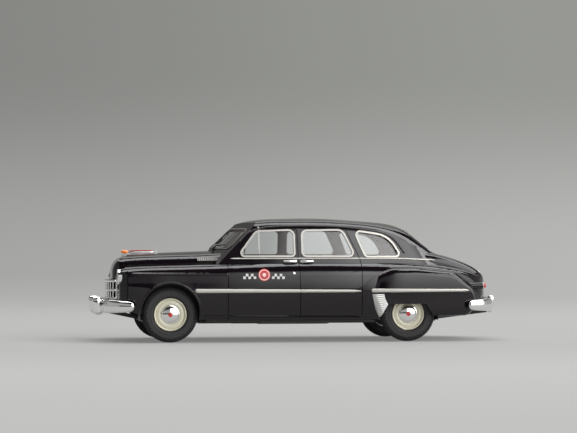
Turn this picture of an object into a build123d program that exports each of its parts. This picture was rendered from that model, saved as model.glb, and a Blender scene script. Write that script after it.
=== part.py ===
"""A 1:43 die-cast scale model of a long four-door taxi saloon of about 1950.

+X runs from the nose to the tail, +Y is the right-hand side of the car and +Z is up.
The origin lies on the ground under the middle of the model. Millimetres, at the model's own size.
"""

import os
from functools import cache
from math import cos, radians, sin

from build123d import *

# Overall sizes
OVERALL_LENGTH = 128.6
OVERALL_WIDTH = 44.2
ROOF_HEIGHT = 38.4
FRONT_BUMPER_REACH = 7.0  # overriders ahead of the bonnet's nose
REAR_BUMPER_REACH = 2.8  # overriders behind the tail
CUT_OVERRUN = 2.0  # how far a cutting solid runs past what it cuts
FIT_GAP = 0.06  # between pieces that seat on each other

# Wheels and axles
WHEELBASE = 74.4
FRONT_AXLE_SETBACK = 16.8  # behind the nose
FRONT_TRACK = 34.0
REAR_TRACK = 34.6
TYRE_RADIUS = 8.6
TYRE_WIDTH = 4.2
TYRE_SHOULDER_ROUND = 1.1
TYRE_GROOVE_PITCH = 0.75
TYRE_GROOVE_WIDTH = 0.25
TYRE_GROOVE_DEPTH = 0.18
RIM_RADIUS = 5.1
RIM_WIDTH = 3.6
RIM_LIP = 0.5
RIM_STEP_SHARES = (2.5, 3.5)  # start and end of a raised ring on the disc, in from the rim, in lips
RIM_DISH = 0.8
HUB_REACH = 0.8  # of the axle past a tyre's middle
HUBCAP_RADIUS = 2.9
HUBCAP_HEIGHT = 1.1
AXLE_RADIUS = 0.8
AXLE_RUNNING_GAP = 0.05
TYRE_CLEARANCE = 0.6

# Body casting
WALL = 1.1
END_WALL = 2.4
PANE_RECESS = 0.3  # glass below the paint
PANE_THICKNESS = 0.5
TRIM_WIDTH = 0.55
TRIM_PROUD = 0.2
SEAM_WIDTH = 0.22
SEAM_DEPTH = 0.2
NOSE_ROUND = 2.6
FENDER_NOSE_ROUND = 1.8
TAIL_ROUND = 9.0
TAIL_FLARE = 2.6  # how much wider the hull may be where its tail's rounding starts
TAIL_TRIM_SHARE = 1.4  # how far forward the tail's rounding runs, in its own radius
BONNET_NOSE_ROUND = 5.2
BONNET_CORNER_ROUND = 4.2
FENDER_ROUND = 2.2
SCREEN_LEAN = 46.0  # degrees back from upright
SCREEN_SWEEP = 17.0  # degrees that each pane turns back
SCREEN_POST = 0.75  # half of the middle post
SCREEN_PANE_WIDTH = 13.6
SCREEN_PANE_HEIGHT = 8.2
SCREEN_SILL = 1.0
SCREEN_CORNER = 1.2
# One wiper from its pivot by the middle post along the pane's foot, in shares of the pane's width and height
WIPER_SHARES = [
    (0.162, 0.024), (0.250, 0.024), (0.309, 0.183), (0.824, 0.256), (0.824, 0.317), (0.221, 0.244),
]
WIPER_ROUND = 0.12
WIPER_THICKNESS = 0.35
REAR_WINDOW_WIDTH = 19.0
REAR_WINDOW_HEIGHT = 4.8
REAR_WINDOW_CORNER = 1.6

# Mouldings and small bright parts
MOULDING_PROUD = 0.4
HANDLE_PROUD = 0.9
BUMPER_HEIGHT = 4.4
BUMPER_DEPTH = 1.4
BUMPER_TIP_ROUND = 1.3
OVERRIDER_WIDTH = 2.4
OVERRIDER_HEIGHT = 5.6
OVERRIDER_ROUND = 0.8
OVERRIDER_FOOT_ROUND = 0.28
OVERRIDER_LEAN = 0.8
OVERRIDER_EDGE = 0.24
GUARD_PROUD = 0.25
HANDLE_LENGTH = 4.5
HANDLE_HEIGHT = 0.95
VENT_LENGTH = 6.4
VENT_HEIGHT = 1.0
HEADLAMP_RADIUS = 2.5
HEADLAMP_BEZEL = 0.5
HEADLAMP_DEPTH = 1.6
HEADLAMP_PROUD = 0.5
LENS_BULGE = 0.6
PARKING_LAMP_WIDTH = 2.0
PARKING_LAMP_HEIGHT = 3.3
PARKING_LAMP_ROUND_SHARE = 1 / 3
PARKING_LAMP_PROUD = 0.6
PARKING_LAMP_REACH = 4.0
TAIL_LAMP_RADIUS = 1.0
TAIL_LAMP_BEZEL = 0.3
TAIL_LAMP_PROUD = 0.9
TAIL_LAMP_LENGTH = 4.5
BOOT_HANDLE_LENGTH = 2.6
BOOT_HANDLE_HEIGHT = 1.1
BOOT_HANDLE_WIDTH = 3.2
BOOT_HANDLE_ROUND_SHARE = 1 / 3
GRILLE_REACH = 2.1  # ahead of the bonnet's nose
GRILLE_DEPTH = 1.1
GRILLE_BAR = 0.85
GRILLE_UPRIGHT = 0.4
GRILLE_UPRIGHTS = 21
GRILLE_SETBACK_SHARE = 1 / 4  # of the uprights behind the bars' faces, of the grille's depth
ORNAMENT_WIDTH = 1.1
ORNAMENT_FIN_WIDTH = 0.5
ORNAMENT_NOSE_RADIUS = 0.62

# Chassis
PLATE_THICKNESS = 1.0
PLATE_DROP = 0.7  # below the sills
AXLE_LUG_LENGTH = 3.4
AXLE_LUG_WIDTH = 1.8
AXLE_LUG_WALL = 0.7
SCREW_HOLE_RADIUS = 1.1
SCREW_BOSS_RADIUS = 2.4
SCREW_SPACING = 44.0
SCREW_CENTRE = 2.0
RAIL_WIDTH = 1.6
RAIL_DEPTH = 0.5
RAIL_SPACING = 27.0
EXHAUST_RADIUS = 0.5
EXHAUST_OFFSET = 6.0
SILENCER_WIDTH = 3.4
SILENCER_HEIGHT = 1.2
BUMPER_ARM_WIDTH = 1.8
BUMPER_ARM_SPACING = 18.0

# Interior
TUB_WALL = 0.8
TUB_FRONT_WIDTH = 36.6
TUB_REAR_WIDTH = 26.6
SEAT_ROUND = 0.9
FRONT_SEAT_WIDTH = 33.0
REAR_SEAT_WIDTH = 24.0
DASH_DEPTH = 3.4
DASH_HEIGHT = 4.6
DASH_RISE_SHARE = 1 / 3  # of its height, above the tub
DASH_ROUND_SHARE = 1 / 4
STEERING_WHEEL_RADIUS = 4.1
STEERING_RIM_RADIUS = 0.32
STEERING_COLUMN_RADIUS = 0.45
STEERING_COLUMN_LENGTH = 4.2
STEERING_LEAN = 38.0  # degrees
STEERING_OFFSET = 8.2

HALF_LENGTH = OVERALL_LENGTH / 2
HALF_WIDTH = OVERALL_WIDTH / 2
BODY_LENGTH = OVERALL_LENGTH - FRONT_BUMPER_REACH - REAR_BUMPER_REACH
NOSE_X = -HALF_LENGTH + FRONT_BUMPER_REACH
TAIL_X = NOSE_X + BODY_LENGTH
FRONT_AXLE_X = NOSE_X + FRONT_AXLE_SETBACK
REAR_AXLE_X = FRONT_AXLE_X + WHEELBASE
AXLE_Z = TYRE_RADIUS

# Lower body across the car, nose to tail, in shares of length, half width and roof height:
# x, sill z, sill y, waist y, waist z, shoulder y, shoulder z, crown y, crown z
HULL_SHARES = [
    (0.010, 0.326, 0.747, 0.860, 0.438, 0.846, 0.526, 0.715, 0.596),
    (0.042, 0.247, 0.837, 0.928, 0.404, 0.919, 0.529, 0.760, 0.606),
    (0.118, 0.198, 0.887, 0.955, 0.378, 0.946, 0.536, 0.790, 0.615),
    (0.286, 0.180, 0.905, 0.968, 0.365, 0.959, 0.540, 0.845, 0.624),
    (0.471, 0.180, 0.910, 0.973, 0.365, 0.964, 0.542, 0.878, 0.630),
    (0.640, 0.180, 0.905, 0.968, 0.365, 0.959, 0.542, 0.868, 0.630),
    (0.774, 0.188, 0.860, 0.923, 0.372, 0.914, 0.537, 0.800, 0.628),
    (0.875, 0.208, 0.796, 0.860, 0.378, 0.846, 0.519, 0.706, 0.606),
    (0.951, 0.234, 0.715, 0.778, 0.378, 0.760, 0.490, 0.611, 0.552),
    (0.990, 0.273, 0.643, 0.688, 0.365, 0.670, 0.430, 0.543, 0.469),
]
# Arched forms, in the same shares:
# x, foot y, shoulder y, shoulder z, crown y, crown z, middle z
CABIN_SHARES = [
    (0.236, 0.816, 0.680, 0.830, 0.480, 0.876, 0.890),
    (0.330, 0.840, 0.712, 0.884, 0.510, 0.936, 0.951),
    (0.390, 0.856, 0.730, 0.900, 0.530, 0.974, 0.990),
    (0.471, 0.866, 0.742, 0.904, 0.543, 0.982, 1.000),
    (0.606, 0.866, 0.738, 0.896, 0.534, 0.971, 0.992),
    (0.707, 0.834, 0.688, 0.865, 0.489, 0.943, 0.969),
    (0.774, 0.762, 0.597, 0.807, 0.421, 0.891, 0.922),
    (0.825, 0.672, 0.520, 0.734, 0.371, 0.781, 0.805),
    (0.867, 0.586, 0.471, 0.682, 0.353, 0.698, 0.706),
]
BONNET_SHARES = [
    (0.000, 0.344, 0.326, 0.586, 0.181, 0.677, 0.693),
    (0.051, 0.416, 0.403, 0.604, 0.249, 0.690, 0.706),
    (0.135, 0.498, 0.489, 0.609, 0.317, 0.701, 0.719),
    (0.219, 0.588, 0.579, 0.620, 0.389, 0.706, 0.729),
    (0.303, 0.679, 0.670, 0.641, 0.452, 0.711, 0.734),
]
BOOT_SHARES = [
    (0.808, 0.611, 0.588, 0.664, 0.430, 0.724, 0.740),
    (0.850, 0.606, 0.584, 0.646, 0.421, 0.708, 0.727),
    (0.901, 0.588, 0.566, 0.609, 0.403, 0.667, 0.682),
    (0.943, 0.561, 0.538, 0.563, 0.380, 0.620, 0.638),
    (0.981, 0.529, 0.507, 0.490, 0.353, 0.547, 0.565),
    (1.000, 0.498, 0.475, 0.404, 0.317, 0.443, 0.458),
]
CABIN_FOOT_SHARE = 0.60
BONNET_FOOT_SHARE = 0.50
BOOT_FOOT_SHARE = 0.27
SCREEN_FOOT_SHARES = (0.258, 0.739)  # x and z of the screen's middle at its foot

# Side windows seen from the side: x share, z share, corner radius as a share of roof height
SIDE_WINDOW_SHARES = {
    "front_door": [
        (0.323, 0.698, 0.021), (0.465, 0.698, 0.021), (0.465, 0.897, 0.039), (0.369, 0.887, 0.057),
    ],
    "rear_door": [(0.490, 0.698, 0.031), (0.625, 0.698, 0.026), (0.594, 0.898, 0.057), (0.490, 0.893, 0.034)],
    "quarter": [(0.657, 0.695, 0.026), (0.751, 0.695, 0.021), (0.719, 0.852, 0.200), (0.630, 0.893, 0.026)],
}
VENT_POST_SHARE = 0.3745
VENT_POST_WIDTH_SHARE = 0.8
VENT_POST_HEIGHT_SHARE = 0.2
SCREEN_TAPER_SHARE = 0.06
REAR_WINDOW_Z_SHARE = 0.825

# Rear fenders seen from the side: x share, z share, corner radius as a share of roof height
FENDER_SHARES = [
    (0.660, 0.400, 0.07), (0.683, 0.560, 0.10), (0.722, 0.600, 0.15), (0.787, 0.602, 0.30),
    (0.889, 0.572, 0.20), (0.950, 0.440, 0.15), (0.966, 0.300, 0.08), (0.930, 0.206, 0.08),
    (0.687, 0.190, 0.07),
]
# Rear fenders seen from above: x share, outer y share
FENDER_PLAN_SHARES = [(0.655, 0.962), (0.790, 0.978), (0.980, 0.790)]
FENDER_INNER_SHARE = 0.56
SKIRT_SHARES = [(-1.12, -0.29), (-0.97, 0.09), (-0.70, 0.36), (0.61, 0.36), (0.91, -0.08), (1.07, -0.31)]
FLARE_SHARES = [(-1.24, -0.36), (-1.02, 0.05), (0.0, 0.20), (0.98, -0.36)]

# Door seams seen from the side: chains of x share, z share
SEAM_SHARES = [
    [(0.290, 0.661), (0.290, 0.182)],
    [(0.480, 0.215), (0.475, 0.905)],
    [(0.605, 0.905), (0.638, 0.682), (0.642, 0.643), (0.642, 0.219)],
    [(0.290, 0.215), (0.642, 0.205)],
]

# Mouldings seen from the side: x share, z share of each end, and height at each end as a share
BELT_SHARES = ((0.300, 0.671), (0.730, 0.671), 0.016, 0.016)
SIDE_MOULDING_SHARES = ((0.196, 0.414), (0.638, 0.411), 0.034, 0.019)
FENDER_MOULDING_SHARES = ((0.664, 0.414), (0.930, 0.412), 0.033, 0.020)
GUARD_SHARES = [
    (0.6625, 0.385), (0.6995, 0.385), (0.702, 0.344), (0.7095, 0.302), (0.701, 0.258), (0.689, 0.190),
    (0.6725, 0.289),
]
HANDLE_X_SHARES = (0.454, 0.499)
HANDLE_Z_SHARE = 0.647
VENT_SHARES = (0.244, 0.667)
HEADLAMP_SHARES = (0.715, 0.523)  # y and z
PARKING_LAMP_SHARES = (0.735, 0.39)  # y and z
TAIL_LAMP_SHARES = (0.975, 0.72, 0.45)  # x, y and z
BOOT_HANDLE_SHARES = (0.984, 0.552)  # x and z
GRILLE_BAR_SHARES = (0.352, 0.418, 0.492)  # z of the lower, middle and upper bar
GRILLE_END_SHARE = 0.597
# Bumpers from above: x share and y share of centre, shoulder and tip
FRONT_BUMPER_SHARES = [(-0.030, 0.0), (-0.004, 0.770), (0.052, 0.935)]
REAR_BUMPER_SHARES = [(1.007, 0.0), (0.986, 0.700), (0.921, 0.915)]
FRONT_BUMPER_Z_SHARE = 0.290
REAR_BUMPER_Z_SHARE = 0.292
BUMPER_TIP_SHARE = 0.68
OVERRIDER_SHARE = 0.36
OVERRIDER_TOP_SHARE = 0.58
# Bumper arms, the plate's ends and the exhaust, seen from the side
FRONT_ARM_SHARES = [(0.090, 0.165), (0.090, 0.185), (0.044, 0.220), (-0.040, 0.300), (-0.040, 0.250)]
REAR_ARM_SHARES = [(0.838, 0.165), (0.838, 0.185), (0.950, 0.222), (1.012, 0.262), (1.012, 0.232)]
PLATE_END_SHARES = (0.076, 0.850)
EXHAUST_SHARES = (0.220, 0.327, 0.451, 0.705)  # pipe, silencer, silencer, pipe
TUB_X_SHARES = (0.278, 0.680, 0.808)
TUB_Z_SHARES = (0.266, 0.584)
FRONT_SEAT_SHARE = 0.385
REAR_SEAT_SHARE = 0.655
SEAT_SHARES = [
    (0.0, 0.0), (0.0, 0.140), (0.010, 0.150), (0.215, 0.130), (0.260, 0.335), (0.325, 0.335), (0.300, 0.0),
]
ORNAMENT_FOOT_SHARES = [
    (0.026, 0.680), (0.026, 0.704), (0.045, 0.707), (0.115, 0.726), (0.116, 0.741), (0.122, 0.738),
    (0.122, 0.700),
]
ORNAMENT_FIN_SHARES = [(0.0465, 0.7095), (0.0465, 0.735), (0.060, 0.741), (0.1145, 0.741), (0.1135, 0.728)]
ORNAMENT_NOSE_SHARES = (0.0245, 0.0335, 0.0455)
ORNAMENT_NOSE_Z_SHARE = 0.7255


def along(share):
    """X of a share of the body's length, from the nose."""
    return NOSE_X + share * BODY_LENGTH


def up(share):
    """Z of a share of the roof's height."""
    return share * ROOF_HEIGHT


def out(share):
    """Y of a share of the half width."""
    return share * HALF_WIDTH


def from_side(points):
    """Points in shares, as X and Z seen from the side."""
    return [(along(x), up(z)) for x, z in points]


def from_axle(axle_x, points):
    """Points in shares of the tyre's radius, as X and Z round an axle."""
    return [(axle_x + x * TYRE_RADIUS, AXLE_Z + z * TYRE_RADIUS) for x, z in points]


def corners(rows):
    """Points seen from the side and the radius at each, from rows of shares."""
    return [(along(x), up(z)) for x, z, _ in rows], [radius * ROOF_HEIGHT for _, _, radius in rows]


def corner_bar(plane, corner, radius, inward):
    """What rounding a square corner takes away, as a bar along the plane's normal."""
    x, y = corner
    step_x, step_y = inward
    size = radius + CUT_OVERRUN
    with BuildPart() as bar:
        with BuildSketch(plane):
            with Locations((x + step_x * (radius - size / 2), y + step_y * (radius - size / 2))):
                Rectangle(size, size)
            with Locations((x + step_x * radius, y + step_y * radius)):
                Circle(radius, mode=Mode.SUBTRACT)
        extrude(amount=OVERALL_WIDTH, both=True)
    return bar.part


def tail_trim(end_x, half_width, flare):
    """What rounding a tail's two corners in plan takes away, where its sides open forwards by a flare."""
    start_x, half_start = end_x - TAIL_TRIM_SHARE * TAIL_ROUND, half_width + flare
    with BuildPart() as trim:
        with BuildSketch() as outside:
            with Locations((end_x, 0)):
                Rectangle(2 * (end_x - start_x), 2 * OVERALL_WIDTH)
            with BuildSketch(mode=Mode.PRIVATE) as kept:
                Polygon(
                    (start_x, -half_start), (end_x, -half_width), (end_x, half_width), (start_x, half_start),
                    align=None,
                )
                fillet(kept.vertices().group_by(Axis.X)[-1], radius=TAIL_ROUND)
            add(kept.sketch, mode=Mode.SUBTRACT)
        extrude(amount=ROOF_HEIGHT)
    return trim.part


def end_step(place, rows, inset):
    """How far a form's first or last section moves out, when the form is grown."""
    growth = max(-inset, 0.0)
    return -growth if place == 0 else growth if place == len(rows) - 1 else 0.0


def end_bars(rows, end_inset):
    """Slabs that take end_inset off both ends of a form."""
    with BuildPart() as bars:
        for x, inward in ((along(rows[0][0]), 1), (along(rows[-1][0]), -1)):
            with BuildSketch(Plane.YZ.offset(x + inward * end_inset)):
                Rectangle(2 * OVERALL_WIDTH, 2 * OVERALL_WIDTH)
            extrude(amount=-inward * HALF_WIDTH)
    return bars.part


@cache
def hull(inset=0.0, end_inset=None, floor_drop=0.0):
    """The lower body with its walls moved inwards by inset and its open underside down by floor_drop."""
    end_inset = inset if end_inset is None else end_inset
    with BuildPart() as form:
        for place, row in enumerate(HULL_SHARES):
            x, sill_z, sill_y, waist_y, waist_z, shoulder_y, shoulder_z, crown_y, crown_z = row
            end_move = end_step(place, HULL_SHARES, inset)
            sill = (out(sill_y) - inset, up(sill_z))
            waist = (out(waist_y) - inset, up(waist_z))
            shoulder = (out(shoulder_y) - inset, up(shoulder_z))
            crown = (out(crown_y) - inset, up(crown_z) - inset)
            with BuildSketch(Plane.YZ.offset(along(x) + end_move)):
                with BuildLine():
                    near = ThreePointArc(sill, waist, shoulder)
                    TangentArc(near @ 1, crown, tangent=near % 1)
                    Line(crown, (-crown[0], crown[1]))
                    far_sill, far_waist, far_shoulder = [(-y, z) for y, z in (sill, waist, shoulder)]
                    far = ThreePointArc(far_sill, far_waist, far_shoulder)
                    TangentArc(far @ 1, (-crown[0], crown[1]), tangent=far % 1)
                    if floor_drop:
                        foot_z = sill[1] - floor_drop
                        Polyline(sill, (sill[0], foot_z), (-sill[0], foot_z), (-sill[0], sill[1]))
                    else:
                        Line(sill, (-sill[0], sill[1]))
                make_face()
        loft()
        if end_inset > 0:
            add(end_bars(HULL_SHARES, end_inset), mode=Mode.SUBTRACT)
        nose, tail = HULL_SHARES[0], HULL_SHARES[-1]
        crown_corner = (along(nose[0]) + end_inset, up(nose[8]) - inset)
        add(corner_bar(Plane.XZ, crown_corner, FENDER_NOSE_ROUND, (1, -1)), mode=Mode.SUBTRACT)
        for side in (-1, 1):
            nose_corner = (along(nose[0]) + end_inset, side * (out(nose[3]) - inset))
            add(corner_bar(Plane.XY, nose_corner, NOSE_ROUND, (1, -side)), mode=Mode.SUBTRACT)
        add(tail_trim(along(tail[0]) - end_inset, out(tail[3]) - inset, TAIL_FLARE), mode=Mode.SUBTRACT)
    return form.part


def arched(rows, foot_z, inset, end_inset):
    """A form like an upturned trough, with its walls moved inwards by inset."""
    with BuildPart() as form:
        for place, row in enumerate(rows):
            x, foot_y, shoulder_y, shoulder_z, crown_y, crown_z, top_z = row
            end_move = end_step(place, rows, inset)
            foot = (out(foot_y) - inset, foot_z)
            shoulder = (out(shoulder_y) - inset, up(shoulder_z))
            crown = (out(crown_y) - inset, up(crown_z) - inset)
            with BuildSketch(Plane.YZ.offset(along(x) + end_move)):
                with BuildLine():
                    near = Line(foot, shoulder)
                    TangentArc(near @ 1, crown, tangent=near % 1)
                    ThreePointArc(crown, (0, up(top_z) - inset), (-crown[0], crown[1]))
                    far = Line((-foot[0], foot[1]), (-shoulder[0], shoulder[1]))
                    TangentArc(far @ 1, (-crown[0], crown[1]), tangent=far % 1)
                    Line(far @ 0, near @ 0)
                make_face()
        loft()
        if end_inset > 0:
            add(end_bars(rows, end_inset), mode=Mode.SUBTRACT)
    return form.part


@cache
def bonnet(inset=0.0, end_inset=None):
    """The bonnet, round at its nose from the side and from above."""
    end_inset = inset if end_inset is None else end_inset
    nose = BONNET_SHARES[0]
    with BuildPart() as form:
        add(arched(BONNET_SHARES, up(BONNET_FOOT_SHARE), inset, end_inset))
        top = (NOSE_X + end_inset, up(nose[6]) - inset)
        add(corner_bar(Plane.XZ, top, BONNET_NOSE_ROUND, (1, -1)), mode=Mode.SUBTRACT)
        for side in (-1, 1):
            corner = (NOSE_X + end_inset, side * (out(nose[1]) - inset))
            add(corner_bar(Plane.XY, corner, BONNET_CORNER_ROUND, (1, -side)), mode=Mode.SUBTRACT)
    return form.part


@cache
def boot(inset=0.0, end_inset=None):
    """The boot, round at its tail from above."""
    end_inset = inset if end_inset is None else end_inset
    tail = BOOT_SHARES[-1]
    with BuildPart() as form:
        add(arched(BOOT_SHARES, up(BOOT_FOOT_SHARE), inset, end_inset))
        add(tail_trim(TAIL_X - end_inset, out(tail[1]) - inset, TAIL_FLARE), mode=Mode.SUBTRACT)
    return form.part


def screen_plane(side, inset=0.0):
    """The plane of one windscreen pane, with X outwards from the middle post and Z out of the car."""
    lean, sweep = radians(SCREEN_LEAN), radians(SCREEN_SWEEP)
    normal = Vector(-cos(lean) * cos(sweep), side * cos(lean) * sin(sweep), sin(lean) * cos(sweep))
    normal = normal.normalized()
    foot = Vector(along(SCREEN_FOOT_SHARES[0]), 0, up(SCREEN_FOOT_SHARES[1]))
    return Plane(foot - normal * inset, x_dir=(sin(sweep), side * cos(sweep), 0), z_dir=normal)


@cache
def cabin(inset=0.0, end_inset=None):
    """The cabin, cut back by the two planes of its V windscreen."""
    end_inset = inset if end_inset is None else end_inset
    with BuildPart() as form:
        # A hollow reaches down into the hull's own hollow
        foot_z = up(CABIN_FOOT_SHARE) - max(inset, 0.0)
        add(arched(CABIN_SHARES, foot_z, inset, end_inset))
        for side in (-1, 1):
            with BuildSketch(screen_plane(side, inset)):
                Rectangle(OVERALL_LENGTH, OVERALL_LENGTH)
            extrude(amount=OVERALL_WIDTH, mode=Mode.SUBTRACT)
    return form.part


@cache
def fenders(inset=0.0):
    """Both rear fenders, as solid blocks rounded along their outer edges."""
    front, middle, back = [(along(x), out(y) - inset) for x, y in FENDER_PLAN_SHARES]
    with BuildPart() as form:
        with BuildSketch(Plane.XZ):
            with BuildLine():
                points, radii = corners(FENDER_SHARES)
                FilletPolyline(*points, radius=radii, close=True)
            make_face()
            if inset:
                offset(amount=-inset)
        extrude(amount=HALF_WIDTH + CUT_OVERRUN)
        with BuildSketch():
            with BuildLine():
                edge = ThreePointArc((front[0], -front[1]), (middle[0], -middle[1]), (back[0], -back[1]))
                inner_y = -out(FENDER_INNER_SHARE)
                Polyline(edge @ 1, (back[0], inner_y), (front[0], inner_y), edge @ 0)
            make_face()
        extrude(amount=ROOF_HEIGHT, mode=Mode.INTERSECT)
        fillet(form.faces().sort_by(Axis.Y)[0].edges(), radius=FENDER_ROUND)
        mirror(about=Plane.XZ)
    return form.part


def side_window(name, growth=0.0):
    """One side window's outline, grown by a border, as a bar right across the car."""
    with BuildPart() as bar:
        with BuildSketch(Plane.XZ):
            with BuildLine():
                points, radii = corners(SIDE_WINDOW_SHARES[name])
                FilletPolyline(*points, radius=radii, close=True)
            make_face()
            if growth:
                offset(amount=growth)
        extrude(amount=HALF_WIDTH + CUT_OVERRUN, both=True)
    return bar.part


def screen_pane(depth, reach, growth=0.0):
    """Both windscreen panes' outlines, grown by a border, as plates from depth to reach along the normal."""
    # The middle post leans back, so in a pane's own plane it runs aslant
    skew = sin(radians(SCREEN_LEAN)) * sin(radians(SCREEN_SWEEP))
    rise = (1 - skew**2) ** 0.5
    low, high = SCREEN_SILL, SCREEN_SILL + SCREEN_PANE_HEIGHT
    wide, narrow = SCREEN_POST + SCREEN_PANE_WIDTH, SCREEN_POST + SCREEN_PANE_WIDTH * (1 - SCREEN_TAPER_SHARE)
    with BuildPart() as plates:
        with BuildSketch(screen_plane(-1, -reach)):
            with BuildLine():
                ring = [(SCREEN_POST, low), (wide, low), (narrow, high), (SCREEN_POST, high)]
                FilletPolyline(*[(x + y * skew, y * rise) for x, y in ring], radius=SCREEN_CORNER, close=True)
            make_face()
            if growth:
                offset(amount=growth)
        extrude(amount=-(depth + reach))
        mirror(about=Plane.XZ)
    return plates.part


def rear_window(growth=0.0):
    """The rear window's outline, grown by a border, as a bar out through the tail."""
    with BuildPart() as bar:
        with BuildSketch(Plane.YZ.offset(along(CABIN_SHARES[-3][0]))):
            with Locations((0, up(REAR_WINDOW_Z_SHARE))):
                width, height = REAR_WINDOW_WIDTH + 2 * growth, REAR_WINDOW_HEIGHT + 2 * growth
                RectangleRounded(width, height, REAR_WINDOW_CORNER)
        extrude(amount=BODY_LENGTH / 2)
    return bar.part


def tapered_bar(rows, growth=0.0):
    """A moulding's outline from the side, as a bar right across the car."""
    (x0, z0), (x1, z1), height0, height1 = rows
    with BuildPart() as bar:
        with BuildSketch(Plane.XZ):
            with BuildLine():
                half0, half1 = up(height0) / 2, up(height1) / 2
                start, end = (along(x0), up(z0)), (along(x1), up(z1))
                upper = Line((start[0], start[1] + half0), (end[0], end[1] + half1))
                ThreePointArc(upper @ 1, (end[0] + half1, end[1]), (end[0], end[1] - half1))
                lower = Line((end[0], end[1] - half1), (start[0], start[1] - half0))
                ThreePointArc(lower @ 1, (start[0] - half0, start[1]), upper @ 0)
            make_face()
        extrude(amount=HALF_WIDTH + CUT_OVERRUN, both=True)
    return bar.part


def write(piece, name):
    """Label a finished piece and write it."""
    piece.part.label = name
    export_step(piece.part, f"parts/{name}.step")


def grille_backing():
    """The solid nose behind the grille's bars, which they seat on."""
    low, _, high = [up(share) for share in GRILLE_BAR_SHARES]
    return grille_band(GRILLE_DEPTH + FIT_GAP, NOSE_ROUND, low - GRILLE_BAR / 2, high + GRILLE_BAR / 2)


def make_body():
    """The painted casting: hollow, open below, with its windows, arches and door seams cut."""
    with BuildPart() as seams:
        for chain in SEAM_SHARES:
            with BuildSketch(Plane.XZ):
                with BuildLine():
                    Polyline(*from_side(chain))
                trace(line_width=SEAM_WIDTH)
            extrude(amount=HALF_WIDTH + CUT_OVERRUN, both=True)
        add(hull(SEAM_DEPTH), mode=Mode.SUBTRACT)
        add(cabin(SEAM_DEPTH), mode=Mode.SUBTRACT)
        for name in SIDE_WINDOW_SHARES:
            add(side_window(name, TRIM_WIDTH), mode=Mode.SUBTRACT)

    with BuildPart() as body_shell:
        add(hull())
        add(bonnet())
        add(cabin())
        add(boot())
        add(fenders())
        add(grille_backing())
        add(hull(WALL, END_WALL, up(HULL_SHARES[0][1])), mode=Mode.SUBTRACT)
        add(bonnet(WALL, END_WALL), mode=Mode.SUBTRACT)
        add(cabin(WALL, END_WALL), mode=Mode.SUBTRACT)
        add(boot(WALL, END_WALL), mode=Mode.SUBTRACT)
        for name in SIDE_WINDOW_SHARES:
            add(side_window(name), mode=Mode.SUBTRACT)
        add(screen_pane(2 * WALL, CUT_OVERRUN), mode=Mode.SUBTRACT)
        add(rear_window(), mode=Mode.SUBTRACT)

        well_inner = REAR_TRACK / 2 - TYRE_WIDTH / 2 - TYRE_CLEARANCE
        well_depth = TYRE_WIDTH + 2 * TYRE_CLEARANCE
        for side in (-1, 1):
            well_plane = Plane.XZ.offset(-side * well_inner)
            with BuildSketch(well_plane):
                with Locations((REAR_AXLE_X, AXLE_Z)):
                    Circle(TYRE_RADIUS + TYRE_CLEARANCE)
                with Locations((REAR_AXLE_X, AXLE_Z / 2)):
                    Rectangle(2 * (TYRE_RADIUS + TYRE_CLEARANCE), AXLE_Z)
            extrude(amount=-side * well_depth, mode=Mode.SUBTRACT)
            with BuildSketch(well_plane):
                with Locations((FRONT_AXLE_X, AXLE_Z + TYRE_CLEARANCE)):
                    Circle(TYRE_RADIUS + TYRE_CLEARANCE / 2)
                with BuildLine():
                    Polyline(*from_axle(FRONT_AXLE_X, FLARE_SHARES), close=True)
                make_face()
                with BuildLine():
                    Polyline(*from_axle(REAR_AXLE_X, SKIRT_SHARES), close=True)
                make_face()
            extrude(amount=-side * HALF_WIDTH, mode=Mode.SUBTRACT)
        add(seams.part, mode=Mode.SUBTRACT)
        with BuildSketch(Plane.YZ.offset(along(HULL_SHARES[0][0]) + HEADLAMP_DEPTH + FIT_GAP)):
            with Locations(*[(side * out(HEADLAMP_SHARES[0]), up(HEADLAMP_SHARES[1])) for side in (-1, 1)]):
                Circle(HEADLAMP_RADIUS + FIT_GAP)
        extrude(amount=-HALF_WIDTH, mode=Mode.SUBTRACT)
    write(body_shell, "body_shell")


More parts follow.
